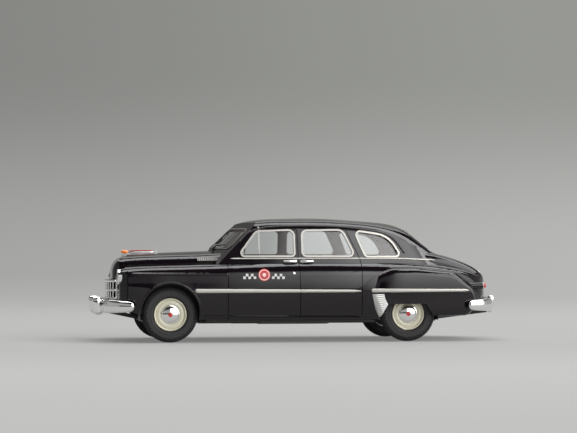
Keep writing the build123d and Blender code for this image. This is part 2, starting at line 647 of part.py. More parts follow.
def make_glass_and_trims():
    """Clear panes seated in the window openings, and the bright frames round them."""
    with BuildPart() as side_glass:
        for name in SIDE_WINDOW_SHARES:
            add(side_window(name, -FIT_GAP))
        add(cabin(PANE_RECESS), mode=Mode.INTERSECT)
        add(cabin(PANE_RECESS + PANE_THICKNESS), mode=Mode.SUBTRACT)
    write(side_glass, "side_glass")

    with BuildPart() as window_trims:
        for name in SIDE_WINDOW_SHARES:
            add(side_window(name, TRIM_WIDTH))
        for name in SIDE_WINDOW_SHARES:
            add(side_window(name), mode=Mode.SUBTRACT)
        with BuildSketch(Plane.XZ):
            with Locations((along(VENT_POST_SHARE), up(CABIN_SHARES[0][3]))):
                Rectangle(TRIM_WIDTH * VENT_POST_WIDTH_SHARE, ROOF_HEIGHT * VENT_POST_HEIGHT_SHARE)
        extrude(amount=HALF_WIDTH, both=True)
        add(cabin(-TRIM_PROUD), mode=Mode.INTERSECT)
        add(cabin(-FIT_GAP), mode=Mode.SUBTRACT)
    write(window_trims, "window_trims")

    with BuildPart() as windscreen_glass:
        add(screen_pane(PANE_RECESS + PANE_THICKNESS, -PANE_RECESS, -FIT_GAP))
    write(windscreen_glass, "windscreen_glass")

    with BuildPart() as windscreen_trim:
        add(screen_pane(-FIT_GAP, TRIM_PROUD, TRIM_WIDTH))
        add(screen_pane(WALL, WALL), mode=Mode.SUBTRACT)
    write(windscreen_trim, "windscreen_trim")

    with BuildPart() as rear_glass:
        add(rear_window(-FIT_GAP))
        add(cabin(PANE_RECESS), mode=Mode.INTERSECT)
        add(cabin(PANE_RECESS + PANE_THICKNESS), mode=Mode.SUBTRACT)
    write(rear_glass, "rear_glass")

    with BuildPart() as rear_window_trim:
        add(rear_window(TRIM_WIDTH))
        add(rear_window(), mode=Mode.SUBTRACT)
        add(cabin(-TRIM_PROUD), mode=Mode.INTERSECT)
        add(cabin(-FIT_GAP), mode=Mode.SUBTRACT)
    write(rear_window_trim, "rear_window_trim")

    with BuildPart() as wipers:
        with BuildSketch(screen_plane(-1, -TRIM_PROUD - FIT_GAP)):
            with BuildLine():
                points = [(x * SCREEN_PANE_WIDTH, y * SCREEN_PANE_HEIGHT) for x, y in WIPER_SHARES]
                FilletPolyline(*points, radius=WIPER_ROUND, close=True)
            make_face()
        extrude(amount=WIPER_THICKNESS)
        mirror(about=Plane.XZ)
    write(wipers, "wipers")


def make_mouldings():
    """Bright strips, stone guards, handles and bonnet vents that lie on the casting's sides."""
    with BuildPart() as belt_mouldings:
        add(tapered_bar(BELT_SHARES))
        add(cabin(-MOULDING_PROUD), mode=Mode.INTERSECT)
        add(cabin(-FIT_GAP), mode=Mode.SUBTRACT)
        add(hull(-FIT_GAP), mode=Mode.SUBTRACT)
    write(belt_mouldings, "belt_mouldings")

    with BuildPart() as side_mouldings:
        add(tapered_bar(SIDE_MOULDING_SHARES))
        add(hull(-MOULDING_PROUD), mode=Mode.INTERSECT)
        add(hull(-FIT_GAP), mode=Mode.SUBTRACT)
    write(side_mouldings, "side_mouldings")

    with BuildPart() as fender_mouldings:
        add(tapered_bar(FENDER_MOULDING_SHARES))
        add(fenders(-MOULDING_PROUD), mode=Mode.INTERSECT)
        add(fenders(-FIT_GAP), mode=Mode.SUBTRACT)
        add(hull(-FIT_GAP), mode=Mode.SUBTRACT)
    write(fender_mouldings, "fender_mouldings")

    with BuildPart() as stone_guards:
        with BuildSketch(Plane.XZ):
            with BuildLine():
                Polyline(*from_side(GUARD_SHARES), close=True)
            make_face()
        extrude(amount=HALF_WIDTH + CUT_OVERRUN, both=True)
        add(fenders(-GUARD_PROUD), mode=Mode.INTERSECT)
        add(fenders(-FIT_GAP), mode=Mode.SUBTRACT)
        add(hull(-FIT_GAP), mode=Mode.SUBTRACT)
    write(stone_guards, "stone_guards")

    with BuildPart() as door_handles:
        for x in HANDLE_X_SHARES:
            with BuildSketch(Plane.XZ):
                with Locations((along(x), up(HANDLE_Z_SHARE))):
                    SlotOverall(HANDLE_LENGTH, HANDLE_HEIGHT)
            extrude(amount=HALF_WIDTH + CUT_OVERRUN, both=True)
        add(cabin(-HANDLE_PROUD), mode=Mode.INTERSECT)
        add(cabin(-FIT_GAP), mode=Mode.SUBTRACT)
        add(hull(-FIT_GAP), mode=Mode.SUBTRACT)
    write(door_handles, "door_handles")

    with BuildPart() as bonnet_vents:
        with BuildSketch(Plane.XZ):
            with Locations((along(VENT_SHARES[0]), up(VENT_SHARES[1]))):
                Rectangle(VENT_LENGTH, VENT_HEIGHT)
        extrude(amount=HALF_WIDTH, both=True)
        add(bonnet(-MOULDING_PROUD), mode=Mode.INTERSECT)
        add(bonnet(-FIT_GAP), mode=Mode.SUBTRACT)
        add(hull(-FIT_GAP), mode=Mode.SUBTRACT)
        add(cabin(-FIT_GAP), mode=Mode.SUBTRACT)
    write(bonnet_vents, "bonnet_vents")


def make_lamps():
    """Headlamps in their pockets, and the small lamps that stand on the casting."""
    face_x = along(HULL_SHARES[0][0])
    lamp_y, lamp_z = out(HEADLAMP_SHARES[0]), up(HEADLAMP_SHARES[1])
    with BuildPart() as headlamp_rims:
        with BuildSketch(Plane.YZ.offset(face_x - HEADLAMP_PROUD)):
            with Locations((-lamp_y, lamp_z), (lamp_y, lamp_z)):
                Circle(HEADLAMP_RADIUS)
        extrude(amount=HEADLAMP_PROUD + HEADLAMP_DEPTH)
        fillet(headlamp_rims.faces().sort_by(Axis.X)[:2].edges(), radius=HEADLAMP_BEZEL / 2)
        with BuildSketch(Plane.YZ.offset(face_x - HEADLAMP_PROUD)):
            with Locations((-lamp_y, lamp_z), (lamp_y, lamp_z)):
                Circle(HEADLAMP_RADIUS - HEADLAMP_BEZEL)
        extrude(amount=HEADLAMP_PROUD + HEADLAMP_DEPTH - HEADLAMP_BEZEL, mode=Mode.SUBTRACT)
    write(headlamp_rims, "headlamp_rims")

    lens_radius = HEADLAMP_RADIUS - HEADLAMP_BEZEL - FIT_GAP
    with BuildPart() as headlamp_lenses:
        for side in (-1, 1):
            with BuildSketch(Plane.XY.offset(lamp_z)):
                with BuildLine():
                    rim_x, y = face_x - HEADLAMP_PROUD, side * lamp_y
                    back_x = face_x + HEADLAMP_DEPTH - HEADLAMP_BEZEL - FIT_GAP
                    Polyline((rim_x, y + lens_radius), (back_x, y + lens_radius), (back_x, y))
                    Line((back_x, y), (rim_x - LENS_BULGE, y))
                    RadiusArc((rim_x - LENS_BULGE, y), (rim_x, y + lens_radius),
                              -(lens_radius**2 + LENS_BULGE**2) / (2 * LENS_BULGE))
                make_face()
            revolve(axis=Axis((0, y, lamp_z), (1, 0, 0)))
    write(headlamp_lenses, "headlamp_lenses")

    with BuildPart() as parking_lamps:
        with BuildSketch(Plane.YZ.offset(face_x + PARKING_LAMP_REACH)):
            lamp_y, lamp_z = out(PARKING_LAMP_SHARES[0]), up(PARKING_LAMP_SHARES[1])
            with Locations((-lamp_y, lamp_z), (lamp_y, lamp_z)):
                lamp_round = PARKING_LAMP_WIDTH * PARKING_LAMP_ROUND_SHARE
                RectangleRounded(PARKING_LAMP_WIDTH, PARKING_LAMP_HEIGHT, lamp_round)
        extrude(amount=-2 * PARKING_LAMP_REACH)
        add(hull(-PARKING_LAMP_PROUD), mode=Mode.INTERSECT)
        add(hull(-FIT_GAP), mode=Mode.SUBTRACT)
    write(parking_lamps, "parking_lamps")

    lamp_end = along(TAIL_LAMP_SHARES[0])
    places = [(side * out(TAIL_LAMP_SHARES[1]), up(TAIL_LAMP_SHARES[2])) for side in (-1, 1)]
    with BuildPart() as tail_lamp_rims:
        with BuildSketch(Plane.YZ.offset(lamp_end)):
            with Locations(*places):
                Circle(TAIL_LAMP_RADIUS)
        extrude(amount=-TAIL_LAMP_LENGTH)
        add(hull(-FIT_GAP), mode=Mode.SUBTRACT)
        add(fenders(-FIT_GAP), mode=Mode.SUBTRACT)
    write(tail_lamp_rims, "tail_lamp_rims")

    with BuildPart() as tail_lamp_lenses:
        with BuildSketch(Plane.YZ.offset(lamp_end + FIT_GAP)):
            with Locations(*places):
                Circle(TAIL_LAMP_RADIUS - TAIL_LAMP_BEZEL)
        extrude(amount=TAIL_LAMP_PROUD)
        fillet(tail_lamp_lenses.faces().sort_by(Axis.X)[-2:].edges(), radius=TAIL_LAMP_BEZEL)
    write(tail_lamp_lenses, "tail_lamp_lenses")

    with BuildPart() as boot_handle:
        with BuildSketch(Plane.XZ):
            with Locations((along(BOOT_HANDLE_SHARES[0]), up(BOOT_HANDLE_SHARES[1]))):
                handle_round = BOOT_HANDLE_HEIGHT * BOOT_HANDLE_ROUND_SHARE
                RectangleRounded(BOOT_HANDLE_LENGTH, BOOT_HANDLE_HEIGHT, handle_round)
        extrude(amount=BOOT_HANDLE_WIDTH / 2, both=True)
        add(boot(-FIT_GAP), mode=Mode.SUBTRACT)
    write(boot_handle, "boot_handle")


def grille_band(front_gap, depth, low, high):
    """A band curved in plan as the grille is, a depth thick, front_gap behind its front."""
    centre_x, end_x, end_y = grille_plan()
    with BuildPart() as band:
        with BuildSketch(Plane.XY.offset(low)):
            with BuildLine():
                front_x = end_x + front_gap
                front = ThreePointArc((front_x, -end_y), (centre_x + front_gap, 0), (front_x, end_y))
                back_x = front_x + depth
                back = ThreePointArc((back_x, -end_y), (back_x + centre_x - end_x, 0), (back_x, end_y))
                Line(front @ 0, back @ 0)
                Line(front @ 1, back @ 1)
            make_face()
        extrude(amount=high - low)
    return band.part


def grille_plan():
    """X of the grille's middle, X of its ends and Y of its ends."""
    end_x = along(HULL_SHARES[0][0]) - GRILLE_DEPTH - FIT_GAP
    return NOSE_X - GRILLE_REACH, end_x, out(GRILLE_END_SHARE)


def make_grille():
    """The plated front: three curved bars over a row of uprights, with a winged strip above."""
    low, middle, high = [up(share) for share in GRILLE_BAR_SHARES]
    centre_x, end_x, end_y = grille_plan()
    with BuildPart() as grille:
        setback = GRILLE_DEPTH * GRILLE_SETBACK_SHARE
        add(grille_band(setback, GRILLE_DEPTH - setback, low, high))
        pitch = 2 * end_y / GRILLE_UPRIGHTS
        with BuildSketch(Plane.YZ.offset(centre_x - CUT_OVERRUN)):
            with Locations((0, (low + high) / 2)):
                with GridLocations(pitch, 0, GRILLE_UPRIGHTS, 1):
                    Rectangle(GRILLE_UPRIGHT, high - low)
        extrude(amount=HALF_WIDTH, mode=Mode.INTERSECT)
        for height in (low, middle, high):
            add(grille_band(0, GRILLE_DEPTH, height - GRILLE_BAR / 2, height + GRILLE_BAR / 2))
    write(grille, "grille")


def bumper_path(rows):
    """Centre, shoulder and tip of a bumper in plan, as X and Y."""
    return [(along(x), out(y)) for x, y in rows]


def bumper_bar(rows, outward, depth, height, z):
    """A bar of bulged section, wrapped round the body's end along three arcs."""
    centre, shoulder, tip = bumper_path(rows)
    with BuildPart() as bar:
        with BuildLine(Plane.XY.offset(z)) as path:
            middle = ThreePointArc((shoulder[0], -shoulder[1]), centre, shoulder)
            TangentArc(middle @ 1, tip, tangent=middle % 1)
            far = TangentArc(middle @ 0, (tip[0], -tip[1]), tangent=-(middle % 0))
        start = Vector(tip[0], -tip[1], z)
        tangent = -(far % 1)
        with BuildSketch(Plane(start, x_dir=tangent.cross(Vector(0, 0, outward)), z_dir=tangent)):
            with BuildLine():
                half = height / 2
                bulge = ThreePointArc((0, -half), (depth, 0), (0, half))
                Line(bulge @ 1, bulge @ 0)
            make_face()
        sweep(path=path.wires()[0])
        with BuildSketch(Plane.YZ):
            with BuildLine():
                end, wide = half * BUMPER_TIP_SHARE, tip[1] + depth + CUT_OVERRUN
                upper = [(-wide, z + end), (0, z + half), (wide, z + end)]
                Polyline(*upper, *[(y, 2 * z - level) for y, level in reversed(upper)], close=True)
            make_face()
        extrude(amount=OVERALL_LENGTH, both=True, mode=Mode.INTERSECT)
        with BuildSketch(Plane.XZ):
            with Locations((tip[0] + outward * BODY_LENGTH / 2, z)):
                RectangleRounded(BODY_LENGTH, height, BUMPER_TIP_ROUND)
        extrude(amount=OVERALL_WIDTH, both=True, mode=Mode.INTERSECT)
    return bar.part


def overriders(rows, outward, z):
    """Two upright blocks on a bumper, rounded and leaning back over its top."""
    centre, _, _ = bumper_path(rows)
    reach = outward * HALF_LENGTH
    with BuildPart() as pair:
        for side in (-1, 1):
            with BuildSketch(Plane.XZ.offset(-side * out(OVERRIDER_SHARE) - OVERRIDER_WIDTH / 2)):
                with BuildLine():
                    low, top = z - OVERRIDER_HEIGHT / 2, z + OVERRIDER_HEIGHT * OVERRIDER_TOP_SHARE
                    back, foot_x = centre[0], reach - outward * OVERRIDER_LEAN
                    foot_round = OVERRIDER_FOOT_ROUND
                    FilletPolyline(
                        (back, low), (foot_x, low), (reach, top), (back, top - OVERRIDER_ROUND),
                        radius=[foot_round, foot_round, OVERRIDER_ROUND, foot_round],
                        close=True,
                    )
                make_face()
            extrude(amount=OVERRIDER_WIDTH)
        fillet(pair.faces().filter_by(Axis.Y).edges(), radius=OVERRIDER_EDGE)
    return pair.part


def make_bumpers():
    """Plated bumpers, each one piece with its overriders."""
    for name, rows, outward, z_share in (
        ("front_bumper", FRONT_BUMPER_SHARES, -1, FRONT_BUMPER_Z_SHARE),
        ("rear_bumper", REAR_BUMPER_SHARES, 1, REAR_BUMPER_Z_SHARE),
    ):
        with BuildPart() as bumper:
            add(bumper_bar(rows, outward, BUMPER_DEPTH, BUMPER_HEIGHT, up(z_share)))
            add(overriders(rows, outward, up(z_share)))
        write(bumper, name)


def bumper_clearance(rows, outward):
    """Everything beyond a bumper's back, as a bar that trims what reaches it."""
    centre, shoulder, _ = bumper_path(rows)
    far_x = outward * (HALF_LENGTH + CUT_OVERRUN)
    gap = outward * FIT_GAP
    with BuildPart() as beyond:
        with BuildSketch():
            with BuildLine():
                edge_x = shoulder[0] - gap
                back = ThreePointArc((edge_x, -shoulder[1]), (centre[0] - gap, 0), (edge_x, shoulder[1]))
                Polyline(back @ 1, (far_x, shoulder[1]), (far_x, -shoulder[1]), back @ 0)
            make_face()
        extrude(amount=ROOF_HEIGHT)
    return beyond.part


def make_chassis():
    """The base: a plate inside the sills, with axle lugs, screw bosses, rails and bumper arms."""
    plate_low = up(HULL_SHARES[3][1]) - PLATE_DROP
    plate_top = plate_low + PLATE_THICKNESS
    sill_y = out(HULL_SHARES[2][2]) - WALL - FIT_GAP
    waist_y = min(FRONT_TRACK, REAR_TRACK) / 2 - TYRE_WIDTH / 2 - 2 * TYRE_CLEARANCE
    tub_low = up(TUB_Z_SHARES[0])
    front_gap = FRONT_AXLE_X + TYRE_RADIUS + TYRE_CLEARANCE
    rear_gap = REAR_AXLE_X - TYRE_RADIUS - TYRE_CLEARANCE
    front_end, rear_end = along(PLATE_END_SHARES[0]), along(PLATE_END_SHARES[1])
    with BuildPart() as chassis_plate:
        with BuildSketch(Plane.XY.offset(plate_low)):
            with BuildLine():
                edge = [(front_end, waist_y), (front_gap, waist_y), (front_gap + CUT_OVERRUN, sill_y),
                        (rear_gap - CUT_OVERRUN, sill_y), (rear_gap, waist_y), (rear_end, waist_y)]
                Polyline(*edge, *[(x, -y) for x, y in reversed(edge)], close=True)
            make_face()
        extrude(amount=PLATE_THICKNESS)
        with BuildSketch(Plane.XY.offset(plate_low)):
            for side in (-1, 1):
                with Locations(((front_gap + rear_gap) / 2, side * RAIL_SPACING / 2)):
                    Rectangle(rear_gap - front_gap, RAIL_WIDTH)
        extrude(amount=-RAIL_DEPTH)
        lug_y = waist_y - AXLE_LUG_WIDTH
        for axle_x in (FRONT_AXLE_X, REAR_AXLE_X):
            for side in (-1, 1):
                with BuildSketch(Plane.XZ.offset(-side * lug_y)):
                    with Locations((axle_x, AXLE_Z)):
                        Circle(AXLE_RADIUS + AXLE_LUG_WALL)
                    with Locations((axle_x, (plate_top + AXLE_Z) / 2)):
                        Rectangle(AXLE_LUG_LENGTH, AXLE_Z - plate_top)
                    with Locations((axle_x, AXLE_Z)):
                        Circle(AXLE_RADIUS + AXLE_RUNNING_GAP, mode=Mode.SUBTRACT)
                extrude(amount=-side * AXLE_LUG_WIDTH)
        screw_x = [SCREW_CENTRE - SCREW_SPACING / 2, SCREW_CENTRE + SCREW_SPACING / 2]
        with BuildSketch(Plane.XY.offset(plate_top)):
            with Locations(*[(x, 0) for x in screw_x]):
                Circle(SCREW_BOSS_RADIUS)
        extrude(amount=tub_low - FIT_GAP - plate_top)
        with BuildSketch(Plane.XY.offset(plate_low)):
            with Locations(*[(x, 0) for x in screw_x]):
                Circle(SCREW_HOLE_RADIUS)
        extrude(amount=ROOF_HEIGHT / 2, mode=Mode.SUBTRACT)
        for rows, outward, arm in (
            (FRONT_BUMPER_SHARES, -1, FRONT_ARM_SHARES), (REAR_BUMPER_SHARES, 1, REAR_ARM_SHARES),
        ):
            with BuildPart(mode=Mode.PRIVATE) as arms:
                with BuildSketch(Plane.XZ):
                    with BuildLine():
                        Polyline(*from_side(arm), close=True)
                    make_face()
                extrude(amount=(BUMPER_ARM_SPACING + BUMPER_ARM_WIDTH) / 2, both=True)
                with BuildSketch(Plane.XZ):
                    Rectangle(2 * OVERALL_LENGTH, ROOF_HEIGHT)
                extrude(amount=(BUMPER_ARM_SPACING - BUMPER_ARM_WIDTH) / 2, both=True, mode=Mode.SUBTRACT)
                add(bumper_clearance(rows, outward), mode=Mode.SUBTRACT)
            add(arms.part)
    write(chassis_plate, "chassis_plate")

    pipe_z = plate_low - FIT_GAP - EXHAUST_RADIUS
    with BuildPart() as exhaust:
        with BuildSketch(Plane.YZ.offset(along(EXHAUST_SHARES[0]))):
            with Locations((EXHAUST_OFFSET, pipe_z)):
                Circle(EXHAUST_RADIUS)
        extrude(amount=along(EXHAUST_SHARES[3]) - along(EXHAUST_SHARES[0]))
        with BuildSketch(Plane.YZ.offset(along(EXHAUST_SHARES[1]))):
            with Locations((EXHAUST_OFFSET, plate_low - FIT_GAP - SILENCER_HEIGHT / 2)):
                SlotOverall(SILENCER_WIDTH, SILENCER_HEIGHT)
        extrude(amount=along(EXHAUST_SHARES[2]) - along(EXHAUST_SHARES[1]))
    write(exhaust, "exhaust")


def make_interior():
    """The moulded tub with its benches, the dashboard and the steering wheel."""
    low, top = up(TUB_Z_SHARES[0]), up(TUB_Z_SHARES[1])
    front_x, step_x, rear_x = [along(share) for share in TUB_X_SHARES]
    front_y, rear_y = TUB_FRONT_WIDTH / 2, TUB_REAR_WIDTH / 2
    with BuildPart() as interior_tub:
        with BuildSketch(Plane.XY.offset(low)) as outline:
            with BuildLine():
                edge = [(front_x, front_y), (step_x, front_y), (step_x, rear_y), (rear_x, rear_y)]
                Polyline(*edge, *[(x, -y) for x, y in reversed(edge)], close=True)
            make_face()
        extrude(amount=top - low)
        with BuildSketch(Plane.XY.offset(low + TUB_WALL)):
            add(outline.sketch.moved(Location((0, 0, TUB_WALL))))
            offset(amount=-TUB_WALL, kind=Kind.INTERSECTION)
        extrude(amount=top, mode=Mode.SUBTRACT)
    write(interior_tub, "interior_tub")

    floor_z = low + TUB_WALL + FIT_GAP
    for name, x_share, width in (
        ("front_seat", FRONT_SEAT_SHARE, FRONT_SEAT_WIDTH),
        ("rear_seat", REAR_SEAT_SHARE, REAR_SEAT_WIDTH),
    ):
        with BuildPart() as bench:
            with BuildSketch(Plane.XZ):
                with BuildLine():
                    seat_x = along(x_share)
                    Polyline(*[(seat_x + up(x), floor_z + up(z)) for x, z in SEAT_SHARES], close=True)
                make_face()
            extrude(amount=width / 2, both=True)
            fillet(bench.edges().filter_by(Axis.Y).group_by(Axis.Z)[-1], radius=SEAT_ROUND / 2)
        write(bench, name)

    dash_x = front_x + TUB_WALL + FIT_GAP
    dash_top = top + DASH_HEIGHT * DASH_RISE_SHARE
    with BuildPart() as dashboard:
        with BuildSketch(Plane.XZ):
            with Locations((dash_x + DASH_DEPTH / 2, dash_top - DASH_HEIGHT / 2)):
                Rectangle(DASH_DEPTH, DASH_HEIGHT)
        extrude(amount=front_y - 2 * TUB_WALL, both=True)
        upper_edges = dashboard.edges().filter_by(Axis.Y).group_by(Axis.Z)[-1]
        fillet(upper_edges, radius=DASH_DEPTH * DASH_ROUND_SHARE)
    write(dashboard, "dashboard")

    column = Vector(cos(radians(STEERING_LEAN)), 0, sin(radians(STEERING_LEAN)))
    start = Vector(dash_x + DASH_DEPTH + FIT_GAP, -STEERING_OFFSET, dash_top - DASH_HEIGHT / 2)
    wheel_plane = Plane(start + column * STEERING_COLUMN_LENGTH, x_dir=(0, 1, 0), z_dir=column)
    with BuildPart() as steering_wheel:
        with BuildSketch(Plane(start, x_dir=(0, 1, 0), z_dir=column)):
            Circle(STEERING_COLUMN_RADIUS)
        extrude(amount=STEERING_COLUMN_LENGTH)
        with BuildSketch(Plane.YZ.offset(start.X)):
            Rectangle(OVERALL_WIDTH, 2 * OVERALL_WIDTH)
        extrude(amount=-HALF_WIDTH, mode=Mode.SUBTRACT)
        with BuildSketch(Plane(wheel_plane.origin, x_dir=column, z_dir=(0, 1, 0))):
            with Locations((0, STEERING_WHEEL_RADIUS)):
                Circle(STEERING_RIM_RADIUS)
        revolve(axis=Axis(wheel_plane.origin, column))
        with BuildSketch(wheel_plane.offset(-STEERING_RIM_RADIUS)):
            Rectangle(2 * STEERING_WHEEL_RADIUS, 2 * STEERING_RIM_RADIUS)
            Circle(2 * STEERING_COLUMN_RADIUS)
        extrude(amount=2 * STEERING_RIM_RADIUS)
    write(steering_wheel, "steering_wheel")


def wheel_points(axle_x, middle_y, side, rows):
    """Rows of radius and outward offset from a wheel's middle, as X and Y in the axle's level."""
    return [(axle_x + radius, middle_y + side * offset_y) for radius, offset_y in rows]


def make_axle(end_name, axle_x, track):
    """One axle rod and, at each end, a tyre, a wheel and its domed cap."""
    with BuildPart() as axle:
        with BuildSketch(Plane.XZ.offset(-track / 2 - HUB_REACH)):
            with Locations((axle_x, AXLE_Z)):
                Circle(AXLE_RADIUS)
        extrude(amount=track + 2 * HUB_REACH)
    write(axle, f"{end_name}_axle")

    spin = Axis((axle_x, 0, AXLE_Z), (0, 1, 0))
    half_tyre, half_rim = TYRE_WIDTH / 2, RIM_WIDTH / 2
    disc_back, disc_face = -half_rim + RIM_DISH, half_rim - RIM_DISH
    bore, step = AXLE_RADIUS + FIT_GAP, disc_face + RIM_LIP / 2
    lip_inner = RIM_RADIUS - RIM_LIP
    step_outer, step_inner = [RIM_RADIUS - share * RIM_LIP for share in RIM_STEP_SHARES]
    tyre_inner = RIM_RADIUS + FIT_GAP
    tyre_rows = [
        (tyre_inner, -half_tyre), (TYRE_RADIUS, -half_tyre),
        (TYRE_RADIUS, half_tyre), (tyre_inner, half_tyre),
    ]
    groove_rows = [(TYRE_RADIUS, place * TYRE_GROOVE_PITCH) for place in (-1, 0, 1)]
    wheel_rows = [
        (bore, disc_back), (lip_inner, disc_back), (lip_inner, -half_rim), (RIM_RADIUS, -half_rim),
        (RIM_RADIUS, half_rim), (lip_inner, half_rim), (lip_inner - RIM_LIP, disc_face), (step_outer, step),
        (step_inner, step), (HUBCAP_RADIUS + FIT_GAP, disc_face), (bore, disc_face),
    ]
    cap_base = disc_face + FIT_GAP
    cap_rows = [(0, cap_base), (HUBCAP_RADIUS, cap_base), (0, cap_base + HUBCAP_HEIGHT)]
    cap_bulge = (HUBCAP_RADIUS**2 + HUBCAP_HEIGHT**2) / (2 * HUBCAP_HEIGHT)
    for side_name, side in (("left", -1), ("right", 1)):
        middle_y = side * track / 2
        with BuildPart() as tyre:
            with BuildSketch(Plane.XY.offset(AXLE_Z)):
                with BuildLine():
                    Polyline(*wheel_points(axle_x, middle_y, side, tyre_rows), close=True)
                make_face()
            revolve(axis=spin)
            outer_edges = tyre.edges().filter_by(GeomType.CIRCLE).sort_by(SortBy.RADIUS)[-2:]
            fillet(outer_edges, radius=TYRE_SHOULDER_ROUND)
            with BuildSketch(Plane.XY.offset(AXLE_Z)):
                with Locations(*wheel_points(axle_x, middle_y, side, groove_rows)):
                    Rectangle(2 * TYRE_GROOVE_DEPTH, TYRE_GROOVE_WIDTH)
            revolve(axis=spin, mode=Mode.SUBTRACT)
        write(tyre, f"{end_name}_{side_name}_tyre")

        with BuildPart() as wheel:
            with BuildSketch(Plane.XY.offset(AXLE_Z)):
                with BuildLine():
                    Polyline(*wheel_points(axle_x, middle_y, side, wheel_rows), close=True)
                make_face()
            revolve(axis=spin)
        write(wheel, f"{end_name}_{side_name}_wheel")

        with BuildPart() as hubcap:
            with BuildSketch(Plane.XY.offset(AXLE_Z)):
                with BuildLine():
                    foot, edge, top = wheel_points(axle_x, middle_y, side, cap_rows)
                    RadiusArc(edge, top, -side * cap_bulge)
                    Polyline(top, foot, edge)
                make_face()
            revolve(axis=spin)
        write(hubcap, f"{end_name}_{side_name}_hubcap")


def make_ornament():
    """The bonnet's ornament: a plated foot, an amber nose and a thin red fin."""
    with BuildPart() as bonnet_ornament:
        with BuildSketch(Plane.XZ):
            with BuildLine():
                Polyline(*from_side(ORNAMENT_FOOT_SHARES), close=True)
            make_face()
        extrude(amount=ORNAMENT_WIDTH / 2, both=True)
        add(bonnet(-FIT_GAP), mode=Mode.SUBTRACT)
    write(bonnet_ornament, "bonnet_ornament")

    with BuildPart() as ornament_fin:
        with BuildSketch(Plane.XZ):
            with BuildLine():
                Polyline(*from_side(ORNAMENT_FIN_SHARES), close=True)
            make_face()
        extrude(amount=ORNAMENT_FIN_WIDTH / 2, both=True)
    write(ornament_fin, "ornament_fin")

    nose_x, waist_x, end_x = [along(share) for share in ORNAMENT_NOSE_SHARES]
    nose_z = up(ORNAMENT_NOSE_Z_SHARE)
    with BuildPart() as ornament_nose:
        with BuildSketch(Plane.XZ):
            with BuildLine():
                tip, end = (nose_x, nose_z), (end_x, nose_z)
                crest = (waist_x, nose_z + ORNAMENT_NOSE_RADIUS)
                Spline(tip, crest, end, tangents=[(0, 1), (1, -1)])
                Line(end, tip)
            make_face()
        revolve(axis=Axis((0, 0, nose_z), (1, 0, 0)))
    write(ornament_nose, "ornament_nose")


if __name__ == "__main__":
    os.makedirs("parts", exist_ok=True)
    make_body()
    make_glass_and_trims()
    make_mouldings()
    make_lamps()
    make_grille()
    make_bumpers()
    make_chassis()
    make_interior()
    make_axle("front", FRONT_AXLE_X, FRONT_TRACK)
    make_axle("rear", REAR_AXLE_X, REAR_TRACK)
    make_ornament()
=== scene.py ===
import math

import bmesh
import bpy
import numpy as np
from bpy.props import FloatProperty, FloatVectorProperty, IntProperty, PointerProperty
from bpy.types import Operator, Panel, PropertyGroup
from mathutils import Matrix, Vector


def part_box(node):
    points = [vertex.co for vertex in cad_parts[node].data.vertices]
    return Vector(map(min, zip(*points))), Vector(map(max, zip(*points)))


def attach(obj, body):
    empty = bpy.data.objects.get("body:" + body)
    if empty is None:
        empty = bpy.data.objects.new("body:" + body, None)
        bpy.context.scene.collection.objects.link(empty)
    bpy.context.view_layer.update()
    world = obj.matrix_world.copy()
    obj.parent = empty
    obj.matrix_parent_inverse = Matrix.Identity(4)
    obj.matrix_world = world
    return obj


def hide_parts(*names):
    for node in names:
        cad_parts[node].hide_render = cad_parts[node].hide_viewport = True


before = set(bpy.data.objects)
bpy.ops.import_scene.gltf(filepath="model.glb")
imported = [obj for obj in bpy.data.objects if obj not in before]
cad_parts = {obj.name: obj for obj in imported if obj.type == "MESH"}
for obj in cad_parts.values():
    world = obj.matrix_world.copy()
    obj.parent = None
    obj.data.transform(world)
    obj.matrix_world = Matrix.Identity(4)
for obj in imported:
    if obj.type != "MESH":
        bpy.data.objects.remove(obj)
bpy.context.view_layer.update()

bl_info = {
    "name": "Black saloon taxi, 1:43",
    "version": (1, 0, 0),
    "blender": (4, 5, 0),
    "location": "View3D > Sidebar > Taxi",
    "description": "Finishes, bright work, wheels and door marks of a small die-cast saloon taxi",
    "category": "Add Mesh",
}

MM = 0.001
LEFT, RIGHT = -1, 1
SIDES = (("left", LEFT), ("right", RIGHT))
AXLES = (("front", "front_wheel_set"), ("rear", "rear_wheel_set"))
BESIDE = 26  # Y of a flat sheet beside the car, in millimetres, before it is laid on
THIN_LIFT = 0.01 * MM  # of mouldings and rails off the paint


# Settings


def length(name, description, default):
    """A size in millimetres on the model, kept in metres."""
    return FloatProperty(name=name, description=description, default=default * MM, min=0, unit="LENGTH", precision=5)


def colour(name, description, default):
    """A linear colour."""
    return FloatVectorProperty(
        name=name, description=description, default=default, subtype="COLOR", size=3, min=0, max=1
    )


class TaxiSizes(PropertyGroup):
    tread_ribs: IntProperty(name="Tread ribs", description="Ribs round each tyre's shoulder", default=64, min=24)
    tread_depth: length("Tread depth", "How deep the tyre's grooves are", 0.22)
    check: length("Check", "Side of one white square of the door's checked band", 0.80)
    roundel: length("Roundel", "Radius of the red disc on the front doors", 1.90)
    print_lift: length("Print lift", "How far the printed marks stand off the paint", 0.03)
    lock: length("Lock", "Radius of the door lock's button", 0.42)


